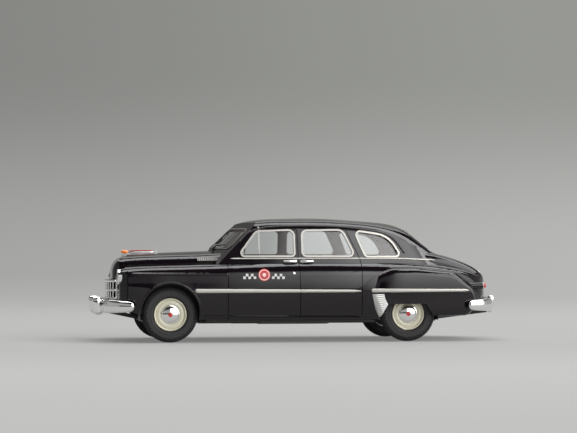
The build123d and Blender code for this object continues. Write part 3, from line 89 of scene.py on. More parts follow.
class TaxiColours(PropertyGroup):
    paint: colour("Paint", "Body enamel", (0.0050, 0.0030, 0.0047))
    base: colour("Base", "Moulded underside", (0.014, 0.014, 0.015))
    lining: colour("Lining", "Inside of the cabin", (0.300, 0.235, 0.210))
    chrome: colour("Chrome", "Bright plating", (0.86, 0.86, 0.85))
    silver: colour("Silver", "Printed silver of frames and mouldings", (0.53, 0.51, 0.47))
    ivory: colour("Ivory", "Painted wheels", (0.62, 0.59, 0.46))
    rubber: colour("Rubber", "Tyres", (0.044, 0.043, 0.044))
    red: colour("Red", "Roundel and lamps", (0.48, 0.035, 0.036))
    amber: colour("Amber", "Nose of the bonnet ornament", (0.80, 0.20, 0.025))
    white: colour("White", "Printed checks", (0.64, 0.63, 0.62))


class TaxiStudio(PropertyGroup):
    lens: FloatProperty(
        name="Lens", description="Focal length on a 36 mm sensor", default=137.9, subtype="DISTANCE_CAMERA"
    )
    place: FloatVectorProperty(
        name="Place", description="Where the camera stands", default=(-0.10612, -0.69533, 0.030),
        subtype="TRANSLATION", size=3, precision=5,
    )
    turn: FloatProperty(
        name="Turn", description="Camera turned to the right", default=math.radians(8.6), subtype="ANGLE"
    )
    tilt: FloatProperty(
        name="Tilt", description="Camera tilted up", default=math.radians(0.74), subtype="ANGLE"
    )
    overhead: FloatProperty(name="Overhead", description="Power of the lamp above", default=10.0, unit="POWER")
    back: FloatProperty(name="Back", description="Power of the lamp above and behind", default=3.0, unit="POWER")
    side_light: FloatProperty(name="Side light", description="Strength of the wide light in front", default=3.8)
    room_tone: colour("Room tone", "The dim room around", (0.38, 0.38, 0.375))
    dark_tone: colour("Dark tone", "The dark room above and beside the wide light", (0.030, 0.030, 0.032))
    paper: colour("Paper", "Floor paper", (0.36, 0.36, 0.355))
    floor_tone: colour("Floor tone", "Lit paper under and before the car", (0.480, 0.480, 0.473))
    front_tone: colour("Front tone", "Lit paper towards the camera", (0.680, 0.680, 0.676))
    glow: FloatProperty(name="Glow", description="Share of the floor's own tone near the car", default=0.40)
    near_tone: colour("Near tone", "Paper just behind the car", (0.500, 0.500, 0.490))
    far_tone: colour("Far tone", "Paper where it starts to rise", (0.430, 0.430, 0.418))
    top_tone: colour("Top tone", "Paper high up", (0.275, 0.280, 0.265))


# Node groups and materials


def node_group(name, ins, outs):
    """A new shader group with the named sockets, and the nodes for what it is given and what it makes."""
    group = bpy.data.node_groups.new(name, "ShaderNodeTree")
    for label, kind, default in ins:
        socket = group.interface.new_socket(name=label, in_out="INPUT", socket_type=kind)
        if default is not None:
            socket.default_value = default
    for label, kind in outs:
        group.interface.new_socket(name=label, in_out="OUTPUT", socket_type=kind)
    return group, group.nodes.new("NodeGroupInput"), group.nodes.new("NodeGroupOutput")


def feed(tree, socket, value):
    """Links a source to a socket, or sets the socket to a number, a triple or, for a colour, an RGB triple."""
    if isinstance(value, bpy.types.NodeSocket):
        tree.links.new(value, socket)
    elif socket.type == "RGBA":
        socket.default_value = (*value, 1)
    elif value is not None:
        socket.default_value = value


def math_node(tree, operation, a, b=None):
    """A Math node's output; a and b are sockets or numbers."""
    node = tree.nodes.new("ShaderNodeMath")
    node.operation = operation
    feed(tree, node.inputs[0], a)
    feed(tree, node.inputs[1], b)
    return node.outputs[0]


def product(tree, first, *others):
    """The product of several sockets or numbers."""
    for other in others:
        first = math_node(tree, "MULTIPLY", first, other)
    return first


def vector_node(tree, operation, a, b):
    """A Vector Math node; a and b are sockets or triples."""
    node = tree.nodes.new("ShaderNodeVectorMath")
    node.operation = operation
    feed(tree, node.inputs[0], a)
    feed(tree, node.inputs[1], b)
    return node


def mix_colour(tree, factor, a, b):
    """A colour that goes from a to b with the factor; each is a socket or an RGB triple."""
    node = tree.nodes.new("ShaderNodeMix")
    node.data_type = "RGBA"
    for place, value in ((0, factor), (6, a), (7, b)):
        feed(tree, node.inputs[place], value)
    return node.outputs[2]


def mix_number(tree, factor, a, b):
    """A number that goes from a to b with the factor."""
    node = tree.nodes.new("ShaderNodeMix")
    for place, value in ((0, factor), (2, a), (3, b)):
        feed(tree, node.inputs[place], value)
    return node.outputs[0]


def ramp(tree, value, low, high):
    """0 to 1 as a value goes from low to high, with a smooth start and end; low may be the greater."""
    node = tree.nodes.new("ShaderNodeMapRange")
    node.interpolation_type = "SMOOTHSTEP"
    node.inputs["From Min"].default_value, node.inputs["From Max"].default_value = sorted((low, high))
    if high < low:
        node.inputs["To Min"].default_value, node.inputs["To Max"].default_value = 1, 0
    tree.links.new(value, node.inputs["Value"])
    return node.outputs["Result"]


def make_fine_grain():
    """Fine unevenness of a small cast, plated or moulded surface: two noises, one coarse and one fine, give a
    height and a roughness that wanders round its middle."""
    tree, given, made = node_group(
        "Fine grain",
        (("Vector", "NodeSocketVector", None), ("Scale", "NodeSocketFloat", 900.0),
         ("Roughness", "NodeSocketFloat", 0.3), ("Spread", "NodeSocketFloat", 0.1)),
        (("Roughness", "NodeSocketFloat"), ("Height", "NodeSocketFloat")),
    )
    fine = tree.nodes.new("ShaderNodeTexNoise")
    coarse = tree.nodes.new("ShaderNodeTexNoise")
    fine.inputs["Detail"].default_value = 3
    coarse.inputs["Detail"].default_value = 2
    tree.links.new(given.outputs["Vector"], fine.inputs["Vector"])
    tree.links.new(given.outputs["Vector"], coarse.inputs["Vector"])
    tree.links.new(given.outputs["Scale"], fine.inputs["Scale"])
    tree.links.new(product(tree, given.outputs["Scale"], 0.12), coarse.inputs["Scale"])
    wander = product(tree, math_node(tree, "SUBTRACT", coarse.outputs["Fac"], 0.5), given.outputs["Spread"])
    tree.links.new(math_node(tree, "ADD", wander, given.outputs["Roughness"]), made.inputs["Roughness"])
    tree.links.new(fine.outputs["Fac"], made.inputs["Height"])
    return tree


def make_inside_mask():
    """1 on faces that look into the cabin and 0 outside. A face looks in where its normal points towards the
    cabin's middle line, which runs along X between two ends at the given height."""
    tree, given, made = node_group(
        "Inside mask",
        (("Position", "NodeSocketVector", None), ("Normal", "NodeSocketVector", None),
         ("Front", "NodeSocketFloat", -20 * MM), ("Back", "NodeSocketFloat", 34 * MM),
         ("Height", "NodeSocketFloat", 22 * MM)),
        (("Mask", "NodeSocketFloat"),),
    )
    parts = tree.nodes.new("ShaderNodeSeparateXYZ")
    tree.links.new(given.outputs["Position"], parts.inputs[0])
    along = math_node(tree, "MAXIMUM", parts.outputs["X"], given.outputs["Front"])
    along = math_node(tree, "MINIMUM", along, given.outputs["Back"])
    middle = tree.nodes.new("ShaderNodeCombineXYZ")
    tree.links.new(along, middle.inputs["X"])
    tree.links.new(given.outputs["Height"], middle.inputs["Z"])
    away = vector_node(tree, "SUBTRACT", given.outputs["Position"], middle.outputs[0])
    facing = vector_node(tree, "DOT_PRODUCT", away.outputs[0], given.outputs["Normal"])
    looks_in = math_node(tree, "LESS_THAN", facing.outputs["Value"], -3.5 * MM)
    past_front = math_node(tree, "GREATER_THAN", parts.outputs["X"], -26 * MM)
    before_back = math_node(tree, "LESS_THAN", parts.outputs["X"], 43 * MM)
    above = math_node(tree, "GREATER_THAN", parts.outputs["Z"], 10 * MM)
    tree.links.new(product(tree, looks_in, past_front, before_back, above), made.inputs["Mask"])
    return tree


class Finish:
    """A material with one Principled shader, and the sockets its nodes start from."""

    def __init__(self, name, base, metallic=0.0, **constants):
        self.material = bpy.data.materials.new(name)
        self.material.use_nodes = True
        self.tree = self.material.node_tree
        self.shader = self.tree.nodes["Principled BSDF"]
        self.shader.inputs["Base Color"].default_value = (*base, 1)
        self.shader.inputs["Metallic"].default_value = metallic
        for label, value in constants.items():
            self.shader.inputs[label.replace("_", " ")].default_value = value
        self.place = self.tree.nodes.new("ShaderNodeTexCoord").outputs["Object"]

    def link(self, source, label):
        self.tree.links.new(source, self.shader.inputs[label])

    def grain(self, group, scale, roughness, spread, bump):
        """Adds the fine grain: its roughness, and its height as a bump of the given depth in metres."""
        grain = self.group(group, Vector=self.place)
        grain.inputs["Scale"].default_value = scale
        grain.inputs["Roughness"].default_value = roughness
        grain.inputs["Spread"].default_value = spread
        self.link(grain.outputs["Roughness"], "Roughness")
        if bump:
            self.bump(grain.outputs["Height"], bump)

    def bump(self, height, rise, label="Normal"):
        """Adds a bump, which turns a height of 1 into a rise in metres."""
        relief = self.tree.nodes.new("ShaderNodeBump")
        relief.inputs["Strength"].default_value = 1
        relief.inputs["Distance"].default_value = rise
        self.tree.links.new(height, relief.inputs["Height"])
        self.link(relief.outputs["Normal"], label)

    def group(self, tree, **sockets):
        """Adds a shader group, with some of its inputs linked."""
        node = self.tree.nodes.new("ShaderNodeGroup")
        node.node_tree = tree
        for label, source in sockets.items():
            self.tree.links.new(source, node.inputs[label])
        return node

    def share(self):
        """The number that the mesh keeps at each point as out_share."""
        node = self.tree.nodes.new("ShaderNodeAttribute")
        node.attribute_name = "out_share"
        return node.outputs["Fac"]

    def mix_over(self, factor, other):
        """Shows another shader in place of the Principled one, by a factor."""
        mixed = self.tree.nodes.new("ShaderNodeMixShader")
        sources = (factor, self.shader.outputs[0], other.outputs[0])
        for source, socket in zip(sources, mixed.inputs):
            self.tree.links.new(source, socket)
        self.tree.links.new(mixed.outputs[0], self.tree.nodes["Material Output"].inputs["Surface"])


def make_painted_seam_shade():
    """How open a point is to its surroundings, from 0 in a narrow groove to 1 on open paint, found by ambient
    occlusion. The paint weights its gloss coat by it, which paints shade into the seams.
    """
    tree, _, made = node_group("Crevice", (), (("Open", "NodeSocketFloat"),))
    near = tree.nodes.new("ShaderNodeAmbientOcclusion")
    near.only_local = True
    near.samples = 8
    near.inputs["Distance"].default_value = 0.42 * MM
    tree.links.new(math_node(tree, "POWER", near.outputs["AO"], 2.5), made.inputs["Open"])
    return tree


def make_crease():
    """A low ridge along the front fender: its height falls off on both sides of one level as a bell curve, and
    fades out before the door and at the nose."""
    tree, given, made = node_group(
        "Fender crease",
        (("Position", "NodeSocketVector", None), ("Level", "NodeSocketFloat", 21.15 * MM),
         ("Spread", "NodeSocketFloat", 0.32 * MM)),
        (("Height", "NodeSocketFloat"),),
    )
    parts = tree.nodes.new("ShaderNodeSeparateXYZ")
    tree.links.new(given.outputs["Position"], parts.inputs[0])
    off = math_node(tree, "SUBTRACT", parts.outputs["Z"], given.outputs["Level"])
    off = math_node(tree, "DIVIDE", off, given.outputs["Spread"])
    bell = math_node(tree, "EXPONENT", product(tree, off, off, -1.0))
    before_door = ramp(tree, parts.outputs["X"], -22.6 * MM, -23.4 * MM)
    after_nose = ramp(tree, parts.outputs["X"], -54.5 * MM, -50.0 * MM)
    tree.links.new(product(tree, bell, before_door, after_nose), made.inputs["Height"])
    return tree


def make_swell():
    """The swell of the rear fender's side: 1 less the cube of the distance from its middle, measured so that the
    fender's rounded rim is at 1, and nothing beyond."""
    tree, given, made = node_group(
        "Fender swell",
        (("Position", "NodeSocketVector", None), ("Middle", "NodeSocketVector", (38 * MM, 0, 14.2 * MM)),
         ("Reach", "NodeSocketVector", (19.5 * MM, 1, 8.3 * MM))),
        (("Height", "NodeSocketFloat"),),
    )
    away = vector_node(tree, "SUBTRACT", given.outputs["Position"], given.outputs["Middle"])
    away = vector_node(tree, "DIVIDE", away.outputs[0], given.outputs["Reach"])
    parts = tree.nodes.new("ShaderNodeSeparateXYZ")
    tree.links.new(vector_node(tree, "ABSOLUTE", away.outputs[0], (0, 0, 0)).outputs[0], parts.inputs[0])
    squares = [math_node(tree, "POWER", parts.outputs[axis], 2.4) for axis in "XZ"]
    share = math_node(tree, "POWER", math_node(tree, "ADD", *squares), 1 / 2.4)
    cube = math_node(tree, "POWER", math_node(tree, "MINIMUM", share, 1.0), 3.0)
    tree.links.new(math_node(tree, "SUBTRACT", 1.0, cube), made.inputs["Height"])
    return tree


def make_ribs():
    """Straight ribs across one direction: a sine of the place along that direction."""
    tree, given, made = node_group(
        "Ribs",
        (("Position", "NodeSocketVector", None), ("Direction", "NodeSocketVector", None),
         ("Pitch", "NodeSocketFloat", 0.5 * MM)),
        (("Height", "NodeSocketFloat"),),
    )
    place = vector_node(tree, "DOT_PRODUCT", given.outputs["Position"], given.outputs["Direction"]).outputs["Value"]
    turns = math_node(tree, "DIVIDE", place, given.outputs["Pitch"])
    wave = math_node(tree, "SINE", product(tree, turns, 2 * math.pi))
    tree.links.new(wave, made.inputs["Height"])
    return tree


def make_groups():
    """The shader groups that the finishes share, by name."""
    return {
        "grain": make_fine_grain(), "inside": make_inside_mask(), "seam_shade": make_painted_seam_shade(), "crease": make_crease(),
        "swell": make_swell(), "ribs": make_ribs(),
    }


def make_paint(colours, groups):
    """Deep gloss enamel with painted shade in its seams, where ambient occlusion takes the gloss coat away, and the
    plain lining on the faces that look into the cabin.
    """
    crease_rise, swell_rise = 0.16 * MM, 0.50 * MM
    paint = Finish("gloss_enamel", colours.paint, Coat_Roughness=0.015, Coat_IOR=1.5, Specular_IOR_Level=0.0)
    paint.grain(groups["grain"], 700, 0.30, 0.06, 0.0012 * MM)
    tree = paint.tree
    mask = paint.group(groups["inside"], Position=paint.place)
    facing = tree.nodes.new("ShaderNodeNewGeometry")
    tree.links.new(facing.outputs["Normal"], mask.inputs["Normal"])
    looks_in = mask.outputs["Mask"]
    unshaded_share = paint.group(groups["seam_shade"]).outputs["Open"]
    paint.link(mix_colour(tree, looks_in, colours.paint, colours.lining), "Base Color")
    # Painted shade: the gloss coat fades out in narrow seams, found by ambient occlusion.
    paint.link(product(tree, math_node(tree, "SUBTRACT", 1.0, looks_in), unshaded_share), "Coat Weight")
    outside_rough = paint.shader.inputs["Roughness"].links[0].from_socket
    paint.link(mix_number(tree, looks_in, outside_rough, 0.55), "Roughness")
    crease = paint.group(groups["crease"], Position=paint.place)
    swell = paint.group(groups["swell"], Position=paint.place)
    height = product(tree, swell.outputs["Height"], swell_rise / crease_rise)
    paint.bump(math_node(tree, "ADD", crease.outputs["Height"], height), crease_rise, "Coat Normal")
    return paint


def make_ribbed(name, base, groups, direction, pitch, rise, roughness, **constants):
    """A plated or moulded finish with straight ribs pressed into it."""
    made = Finish(name, base, **constants)
    made.grain(groups["grain"], 900, roughness, 0.08, 0)
    ribs = made.group(groups["ribs"], Position=made.place)
    ribs.inputs["Direction"].default_value = direction
    ribs.inputs["Pitch"].default_value = pitch
    made.bump(ribs.outputs["Height"], rise)
    return made


def make_clear(groups):
    """Clear moulded panes, which let the lamps' light straight through."""
    pane = Finish("window_moulding", (0.95, 0.97, 0.97), Transmission_Weight=1.0, IOR=1.46)
    pane.grain(groups["grain"], 300, 0.02, 0.02, 0)
    tree = pane.tree
    path = tree.nodes.new("ShaderNodeLightPath")
    clear = tree.nodes.new("ShaderNodeBsdfTransparent")
    clear.inputs["Color"].default_value = (0.92, 0.93, 0.93, 1)
    pane.mix_over(math_node(tree, "MAXIMUM", path.outputs["Is Shadow Ray"], path.outputs["Is Diffuse Ray"]), clear)
    return pane


GROOVE_SHADE_TONE = 0.12  # painted shade: the rubber's own tone is taken down to this share in the tyres' grooves and between the shoulder's ribs
CAP_SPOT = 0.24  # radius of the red spot, of the hub cap's
DISC_RING, DISC_RING_HALF, DISC_DOT = 0.80, 0.07, 0.30  # of the door disc's radius


def make_finishes(colours):
    """Every finish of the taxi, by name."""
    groups = make_groups()
    made = {"gloss_enamel": make_paint(colours, groups), "window_moulding": make_clear(groups)}

    def finish(name, base, scale, roughness, spread, bump, **constants):
        made[name] = Finish(name, base, **constants)
        made[name].grain(groups["grain"], scale, roughness, spread, bump)
        return made[name]

    finish("satin_base", colours.base, 1200, 0.48, 0.12, 0.01 * MM)
    finish("cabin_plastic", colours.lining, 2600, 0.52, 0.12, 0.02 * MM)
    finish("plated_chrome", colours.chrome, 500, 0.07, 0.05, 0.001 * MM, metallic=1.0)
    finish("printed_silver", colours.silver, 900, 0.36, 0.10, 0.002 * MM, metallic=0.25)
    # Painted shade: a flat black with no gloss, for the shade behind the grille.
    finish("shade_black", (0.004, 0.004, 0.004), 1200, 0.90, 0.08, 0.01 * MM, Specular_IOR_Level=0.0)
    finish("dull_trim", (0.16, 0.155, 0.15), 900, 0.30, 0.10, 0.002 * MM, metallic=0.6)
    finish("axle_rod", (0.55, 0.55, 0.54), 900, 0.30, 0.10, 0.002 * MM, metallic=1.0)
    finish("tyre_rubber", colours.rubber, 1800, 0.72, 0.14, 0.012 * MM, Specular_IOR_Level=0.2)
    finish("wheel_enamel", colours.ivory, 900, 0.30, 0.08, 0.002 * MM, Coat_Weight=0.3, Coat_Roughness=0.1)
    finish("lamp_moulding", (0.90, 0.90, 0.88), 1500, 0.06, 0.04, 0.004 * MM, Transmission_Weight=0.9, IOR=1.5)
    finish("red_moulding", colours.red, 1500, 0.10, 0.05, 0.002 * MM, Coat_Weight=0.5)
    finish("red_fin", (0.62, 0.10, 0.10), 1500, 0.12, 0.05, 0.001 * MM, Transmission_Weight=0.4)
    finish("amber_moulding", colours.amber, 1500, 0.10, 0.05, 0.002 * MM, Coat_Weight=0.5)
    finish("white_print", colours.white, 2000, 0.30, 0.08, 0.001 * MM)
    for name, base, direction, pitch, rise, roughness, metallic in (
        ("guard_plate", (0.80, 0.80, 0.78), (0.12, 0, 1), 0.62, 0.05, 0.30, 0.8),
        ("seat_cloth", colours.lining, (0, 1, 0), 2.4, 0.25, 0.60, 0.0),
        ("louvred_plate", (0.30, 0.29, 0.28), (0.94, 0, -0.34), 0.55, 0.10, 0.35, 0.8),
    ):
        made[name] = make_ribbed(name, base, groups, direction, pitch * MM, rise * MM, roughness, metallic=metallic)

    tyre = made["tyre_rubber"]
    # Painted shade: the rubber is darkened where the tyre is sunk, in its grooves and notches.
    sunk = [GROOVE_SHADE_TONE * value for value in colours.rubber]
    tyre.link(mix_colour(tyre.tree, tyre.share(), colours.rubber, sunk), "Base Color")
    # Painted shade: the wheel's inner side, which faces under the car, takes the dark base colour in place of the
    # ivory.
    rim = made["wheel_enamel"]
    rim.link(mix_colour(rim.tree, rim.share(), colours.ivory, colours.base), "Base Color")

    cap = finish("cap_chrome", colours.chrome, 500, 0.09, 0.04, 0.001 * MM, metallic=1.0)
    spot = math_node(cap.tree, "LESS_THAN", cap.share(), CAP_SPOT)
    cap.link(mix_colour(cap.tree, spot, colours.chrome, colours.red), "Base Color")
    cap.link(mix_number(cap.tree, spot, 1.0, 0.0), "Metallic")

    disc = finish("roundel_print", colours.red, 2000, 0.28, 0.08, 0.001 * MM)
    share = disc.share()
    ring = math_node(disc.tree, "COMPARE", share, DISC_RING)
    ring.node.inputs[2].default_value = DISC_RING_HALF
    pale = math_node(disc.tree, "MAXIMUM", ring, math_node(disc.tree, "LESS_THAN", share, DISC_DOT))
    disc.link(mix_colour(disc.tree, pale, colours.red, (0.80, 0.62, 0.58)), "Base Color")
    return {name: item.material for name, item in made.items()}


FINISHES = {}


def finishes():
    """The finishes, made once for each run."""
    if not FINISHES:
        FINISHES.update(make_finishes(bpy.context.scene.taxi_colours))
    return FINISHES


# Shapes


def grid_faces(rows, columns, wrap_rows=False, wrap_columns=False):
    """The four corner numbers of every face between neighbouring points of a grid counted row by row. A
    wrapped side joins its last line to its first."""
    row = np.arange(rows if wrap_rows else rows - 1)[:, None]
    column = np.arange(columns if wrap_columns else columns - 1)[None, :]
    next_row, next_column = (row + 1) % rows, (column + 1) % columns
    corners = (
        row * columns + column, next_row * columns + column,
        next_row * columns + next_column, row * columns + next_column,
    )
    return np.stack(np.broadcast_arrays(*corners), axis=-1).reshape(-1, 4)


def mesh_from(name, points, faces, values=None, closed=True):
    """A mesh in metres from points in millimetres. Points that fall on each other at poles and seams are
    merged, and a closed shell is turned to face outwards. values are kept at the points as out_share."""
    mesh = bpy.data.meshes.new(name)
    mesh.from_pydata((points.reshape(-1, 3) * MM).tolist(), [], faces.tolist())
    if values is not None:
        kept = mesh.attributes.new("out_share", "FLOAT", "POINT")
        kept.data.foreach_set("value", np.ascontiguousarray(values, dtype=np.float32).ravel())
    shell = bmesh.new()
    shell.from_mesh(mesh)
    bmesh.ops.remove_doubles(shell, verts=shell.verts, dist=0.0005 * MM)
    bmesh.ops.dissolve_degenerate(shell, edges=shell.edges, dist=0.0002 * MM)
    if closed:
        bmesh.ops.recalc_face_normals(shell, faces=shell.faces)
    shell.to_mesh(mesh)
    shell.free()
    return mesh


def add_piece(name, mesh, finish, body="car", stands_for=(), sharp=35):
    """Puts a mesh with a named finish into the scene, as a piece that rides on a body. Edges sharper than
    the angle in degrees stay sharp."""
    mesh.shade_smooth()
    mesh.set_sharp_from_angle(angle=math.radians(sharp))
    mesh.materials.append(finishes()[finish])
    made = bpy.data.objects.new(name, mesh)
    bpy.context.scene.collection.objects.link(made)
    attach(made, body)
    if stands_for:
        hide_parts(*stands_for)


def joined(shells):
    """The points, faces and values of several shells as one."""
    starts = np.cumsum([0] + [len(points) for points, _, _ in shells[:-1]])
    points = np.concatenate([points for points, _, _ in shells])
    faces = np.concatenate([faces + start for (_, faces, _), start in zip(shells, starts)])
    values = np.concatenate([values for _, _, values in shells])
    return points, faces, values


def round_angles(steps):
    """Evenly spaced angles once round, without the first again at the end."""
    return np.linspace(0, 2 * np.pi, steps, endpoint=False)


def rounded_box(angle, power):
    """The two shares of a rounded box's outline at an angle a: cos a and sin a, each taken to the power
    2 / power with its sign kept."""
    return [np.sign(share) * np.abs(share) ** (2 / power) for share in (np.cos(angle), np.sin(angle))]


def along_line(line):
    """The unit direction of a line of pairs at each of its points."""
    run = np.gradient(line, axis=0)
    return run / np.linalg.norm(run, axis=1)[:, None]


def turned(profile, centre_x, centre_z, middle_y, side, steps, ripple=None):
    """A profile of (radius, outward offset) carried round an axis along Y: at angle a a point is at
    X = centre + radius cos a, Z = centre + radius sin a, Y = middle + side times offset. ripple, if given, is
    taken from the radius at each angle and profile point."""
    angle = round_angles(steps)[:, None]
    radius = np.broadcast_to(profile[:, 0], (steps, len(profile)))
    if ripple is not None:
        radius = radius - ripple
    offset = np.broadcast_to(profile[:, 1], radius.shape)
    return np.stack(
        (centre_x + radius * np.cos(angle), middle_y + side * offset, centre_z + radius * np.sin(angle)), axis=-1
    )


def spun_along_x(x, half_width, middle_z, half_height, power=2.0, steps=32):
    """A long form along X whose sections are rounded boxes: Y = half width times the first share and
    Z = middle + half height times the second."""
    across, upward = rounded_box(round_angles(steps)[None, :], power)
    columns = [np.asarray(values, float)[:, None] for values in (x, half_width, middle_z, half_height)]
    x, half_width, middle_z, half_height = columns
    return np.stack((x + 0 * across, half_width * across, middle_z + half_height * upward), axis=-1)


def wheel_place(axle, side_name):
    """Centre X, centre Z, middle Y of a wheel, from its tyre in the frame, in millimetres."""
    low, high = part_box(f"{axle}_{side_name}_tyre")
    middle = [(a + b) / 2 / MM for a, b in zip(low, high)]
    return middle[0], middle[2], middle[1]


def each_wheel():
    """Every wheel's name, body, side and place."""
    for axle, body in AXLES:
        for side_name, side in SIDES:
            yield f"{axle}_{side_name}", body, side, wheel_place(axle, side_name)


# Pieces


class TAXI_OT_node_finishes(Operator):
    """Give every node of the frame its finish"""

    bl_idname = "taxi.node_finishes"
    bl_label = "Finishes"

    PARTS = {
        "gloss_enamel": ("body_shell", "tail_lamp_rims"),
        "satin_base": ("chassis_plate", "exhaust", "steering_wheel"),
        "cabin_plastic": ("interior_tub", "dashboard"),
        "seat_cloth": ("front_seat", "rear_seat"),
        "guard_plate": ("stone_guards",),
        "louvred_plate": ("bonnet_vents",),
        "plated_chrome": (
            "door_handles", "headlamp_rims", "boot_handle", "grille", "front_bumper",
            "rear_bumper", "bonnet_ornament",
        ),
        "printed_silver": ("window_trims", "belt_mouldings", "side_mouldings", "fender_mouldings"),
        "dull_trim": ("windscreen_trim", "rear_window_trim", "wipers"),
        "window_moulding": ("side_glass", "windscreen_glass", "rear_glass"),
        "lamp_moulding": ("headlamp_lenses", "parking_lamps"),
        "red_moulding": ("tail_lamp_lenses",),
        "red_fin": ("ornament_fin",),
        "amber_moulding": ("ornament_nose",),
        "axle_rod": ("front_axle", "rear_axle"),
        "tyre_rubber": tuple(f"{a}_{s}_tyre" for a, _ in AXLES for s, _ in SIDES),
        "wheel_enamel": tuple(f"{a}_{s}_wheel" for a, _ in AXLES for s, _ in SIDES),
        "cap_chrome": tuple(f"{a}_{s}_hubcap" for a, _ in AXLES for s, _ in SIDES),
    }

    def execute(self, context):
        named = [node for nodes in self.PARTS.values() for node in nodes]
        left_out = sorted(set(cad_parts) ^ set(named))
        if left_out:
            raise RuntimeError(f"finishes and nodes differ: {left_out}")
        for finish, nodes in self.PARTS.items():
            for node in nodes:
                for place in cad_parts[node].material_slots:
                    place.material = finishes()[finish]
        return {"FINISHED"}


class TAXI_OT_tyres(Operator):
    """Make the four tyres, with ribbed treads and ringed walls"""

    bl_idname = "taxi.tyres"
    bl_label = "Tyres"

    OUTER, INNER, HALF_WIDTH = 8.60, 5.17, 2.10
    BEAD_POWER, TREAD_POWER = 4.2, 2.9
    AROUND, ACROSS = 512, 76
    TREAD_FROM, SHOULDER, FADE = 8.05, (7.15, 8.25), 0.15  # radii, and how far the shoulder takes to start and end
    GROOVE_PITCH, GROOVE_HALF, NOTCH_PITCH = 0.72, 0.12, 0.55
    RINGS, RING_SPREAD = (7.30, 5.95), 0.09

    def section(self):
        """The tyre's section as (radius, offset): a rounded box, squarer towards the bead than the tread, with
        radius = middle + half depth times the first share and offset = half width times the second."""
        angle = round_angles(self.ACROSS)
        outward, across = rounded_box(angle, np.where(np.cos(angle) < 0, self.BEAD_POWER, self.TREAD_POWER))
        middle, half = (self.OUTER + self.INNER) / 2, (self.OUTER - self.INNER) / 2
        return np.stack((middle + half * outward, self.HALF_WIDTH * across), axis=-1)

    def relief(self, section, ribs, depth):
        """How much is taken off the radius and off the offset, and how sunk each point is, from 0 to 1. The tyre's
        finish paints the sunk points darker, as painted shade in the grooves. The shoulder has ribs round the wheel,
        the tread grooves with staggered notches between, and the wall two fine rings, which are bell curves of the
        radius."""
        radius, offset = section[:, 0], section[:, 1]
        row = np.round(offset / self.NOTCH_PITCH)
        notch = (np.cos(ribs * round_angles(self.AROUND)[:, None] + np.pi * row) > 0.1) * 1.0
        from_groove = np.abs((np.abs(offset) % self.GROOVE_PITCH) - self.GROOVE_PITCH / 2)
        groove = np.clip(1 - from_groove / self.GROOVE_HALF, 0, 1)
        tread = np.clip((radius - self.TREAD_FROM) / 0.3, 0, 1) * np.maximum(groove, 0.75 * notch)
        low, high = self.SHOULDER
        shoulder = np.clip((radius - low) / self.FADE, 0, 1) * np.clip((high - radius) / self.FADE, 0, 1) * notch
        ring = sum(np.exp(-(((radius - middle) / self.RING_SPREAD) ** 2)) for middle in self.RINGS)
        off_wall = depth * (0.9 * shoulder - 0.6 * ring + 0.6) * np.sign(offset)
        return depth * tread, off_wall, np.clip(shoulder + tread, 0, 1)

    def execute(self, context):
        sizes = context.scene.taxi_sizes
        section = self.section()
        off_radius, off_wall, sunk = self.relief(section, sizes.tread_ribs, sizes.tread_depth / MM)
        faces = grid_faces(self.AROUND, self.ACROSS, True, True)
        for wheel, body, side, (x, z, y) in each_wheel():
            points = turned(section, x, z, y, side, self.AROUND, off_radius)
            points[..., 1] -= side * off_wall
            name = f"{wheel}_ribbed_tyre"
            mesh = mesh_from(name, points, faces, sunk)
            add_piece(name, mesh, "tyre_rubber", body, (f"{wheel}_tyre",), 20)
        return {"FINISHED"}


class TAXI_OT_wheels(Operator):
    """Make the painted wheels, with their stepped rims"""

    bl_idname = "taxi.wheels"
    bl_label = "Wheels"

    STEPS = 96
    PROFILE = (
        (0.88, -1.05), (4.45, -1.05), (4.70, -1.80), (5.08, -1.80), (5.08, 1.46), (5.02, 1.66), (4.86, 1.76),
        (4.68, 1.72), (4.58, 1.56), (4.52, 1.28), (4.40, 1.18), (4.22, 1.22), (3.95, 1.36), (3.60, 1.44),
        (3.30, 1.40), (3.05, 1.22), (2.80, 1.00), (0.88, 0.98),
    )

    def execute(self, context):
        profile = np.array(self.PROFILE)
        for wheel, body, side, (x, z, y) in each_wheel():
            points = turned(profile, x, z, y, side, self.STEPS)
            # Painted shade: the points on the wheel's inner side are marked so that its finish paints them dark.
            shaded_inner_side = np.broadcast_to(profile[:, 1] < 0, points.shape[:2])
            faces = grid_faces(self.STEPS, len(profile), True, True)
            mesh = mesh_from(f"{wheel}_rim", points, faces, shaded_inner_side)
            add_piece(f"{wheel}_rim", mesh, "wheel_enamel", body, (f"{wheel}_wheel",), 40)
        return {"FINISHED"}


class TAXI_OT_hub_caps(Operator):
    """Make the domed hub caps with their plain red spots"""

    bl_idname = "taxi.hub_caps"
    bl_label = "Hub caps"

    RADIUS, FOOT, SHOULDER, CROWN = 2.90, 1.06, 1.26, 2.16
    STEPS = 72

    def profile(self):
        """From the foot's middle out to the brim and over a dome, where offset = shoulder + rise times the
        root of 1 - share squared, to the crown."""
        share = np.linspace(1, 0, 22)
        brim = np.array(((0, self.FOOT), (self.RADIUS - 0.1, self.FOOT), (self.RADIUS, 1.14), (self.RADIUS, 1.20)))
        offset = self.SHOULDER + (self.CROWN - self.SHOULDER) * np.sqrt(1 - share**2)
        return np.concatenate((brim, np.stack((share * (self.RADIUS - 0.22), offset), axis=-1)))

    def execute(self, context):
        profile = self.profile()
        share = np.where(profile[:, 1] > self.SHOULDER + 0.04, profile[:, 0] / self.RADIUS, 1.0)
        for wheel, body, side, (x, z, y) in each_wheel():
            points = turned(profile, x, z, y, side, self.STEPS)
            name = f"{wheel}_dome_cap"
            faces = grid_faces(self.STEPS, len(profile), True, False)
            mesh = mesh_from(name, points, faces, np.broadcast_to(share, points.shape[:2]))
            add_piece(name, mesh, "cap_chrome", body, (f"{wheel}_hubcap",), 40)
        return {"FINISHED"}


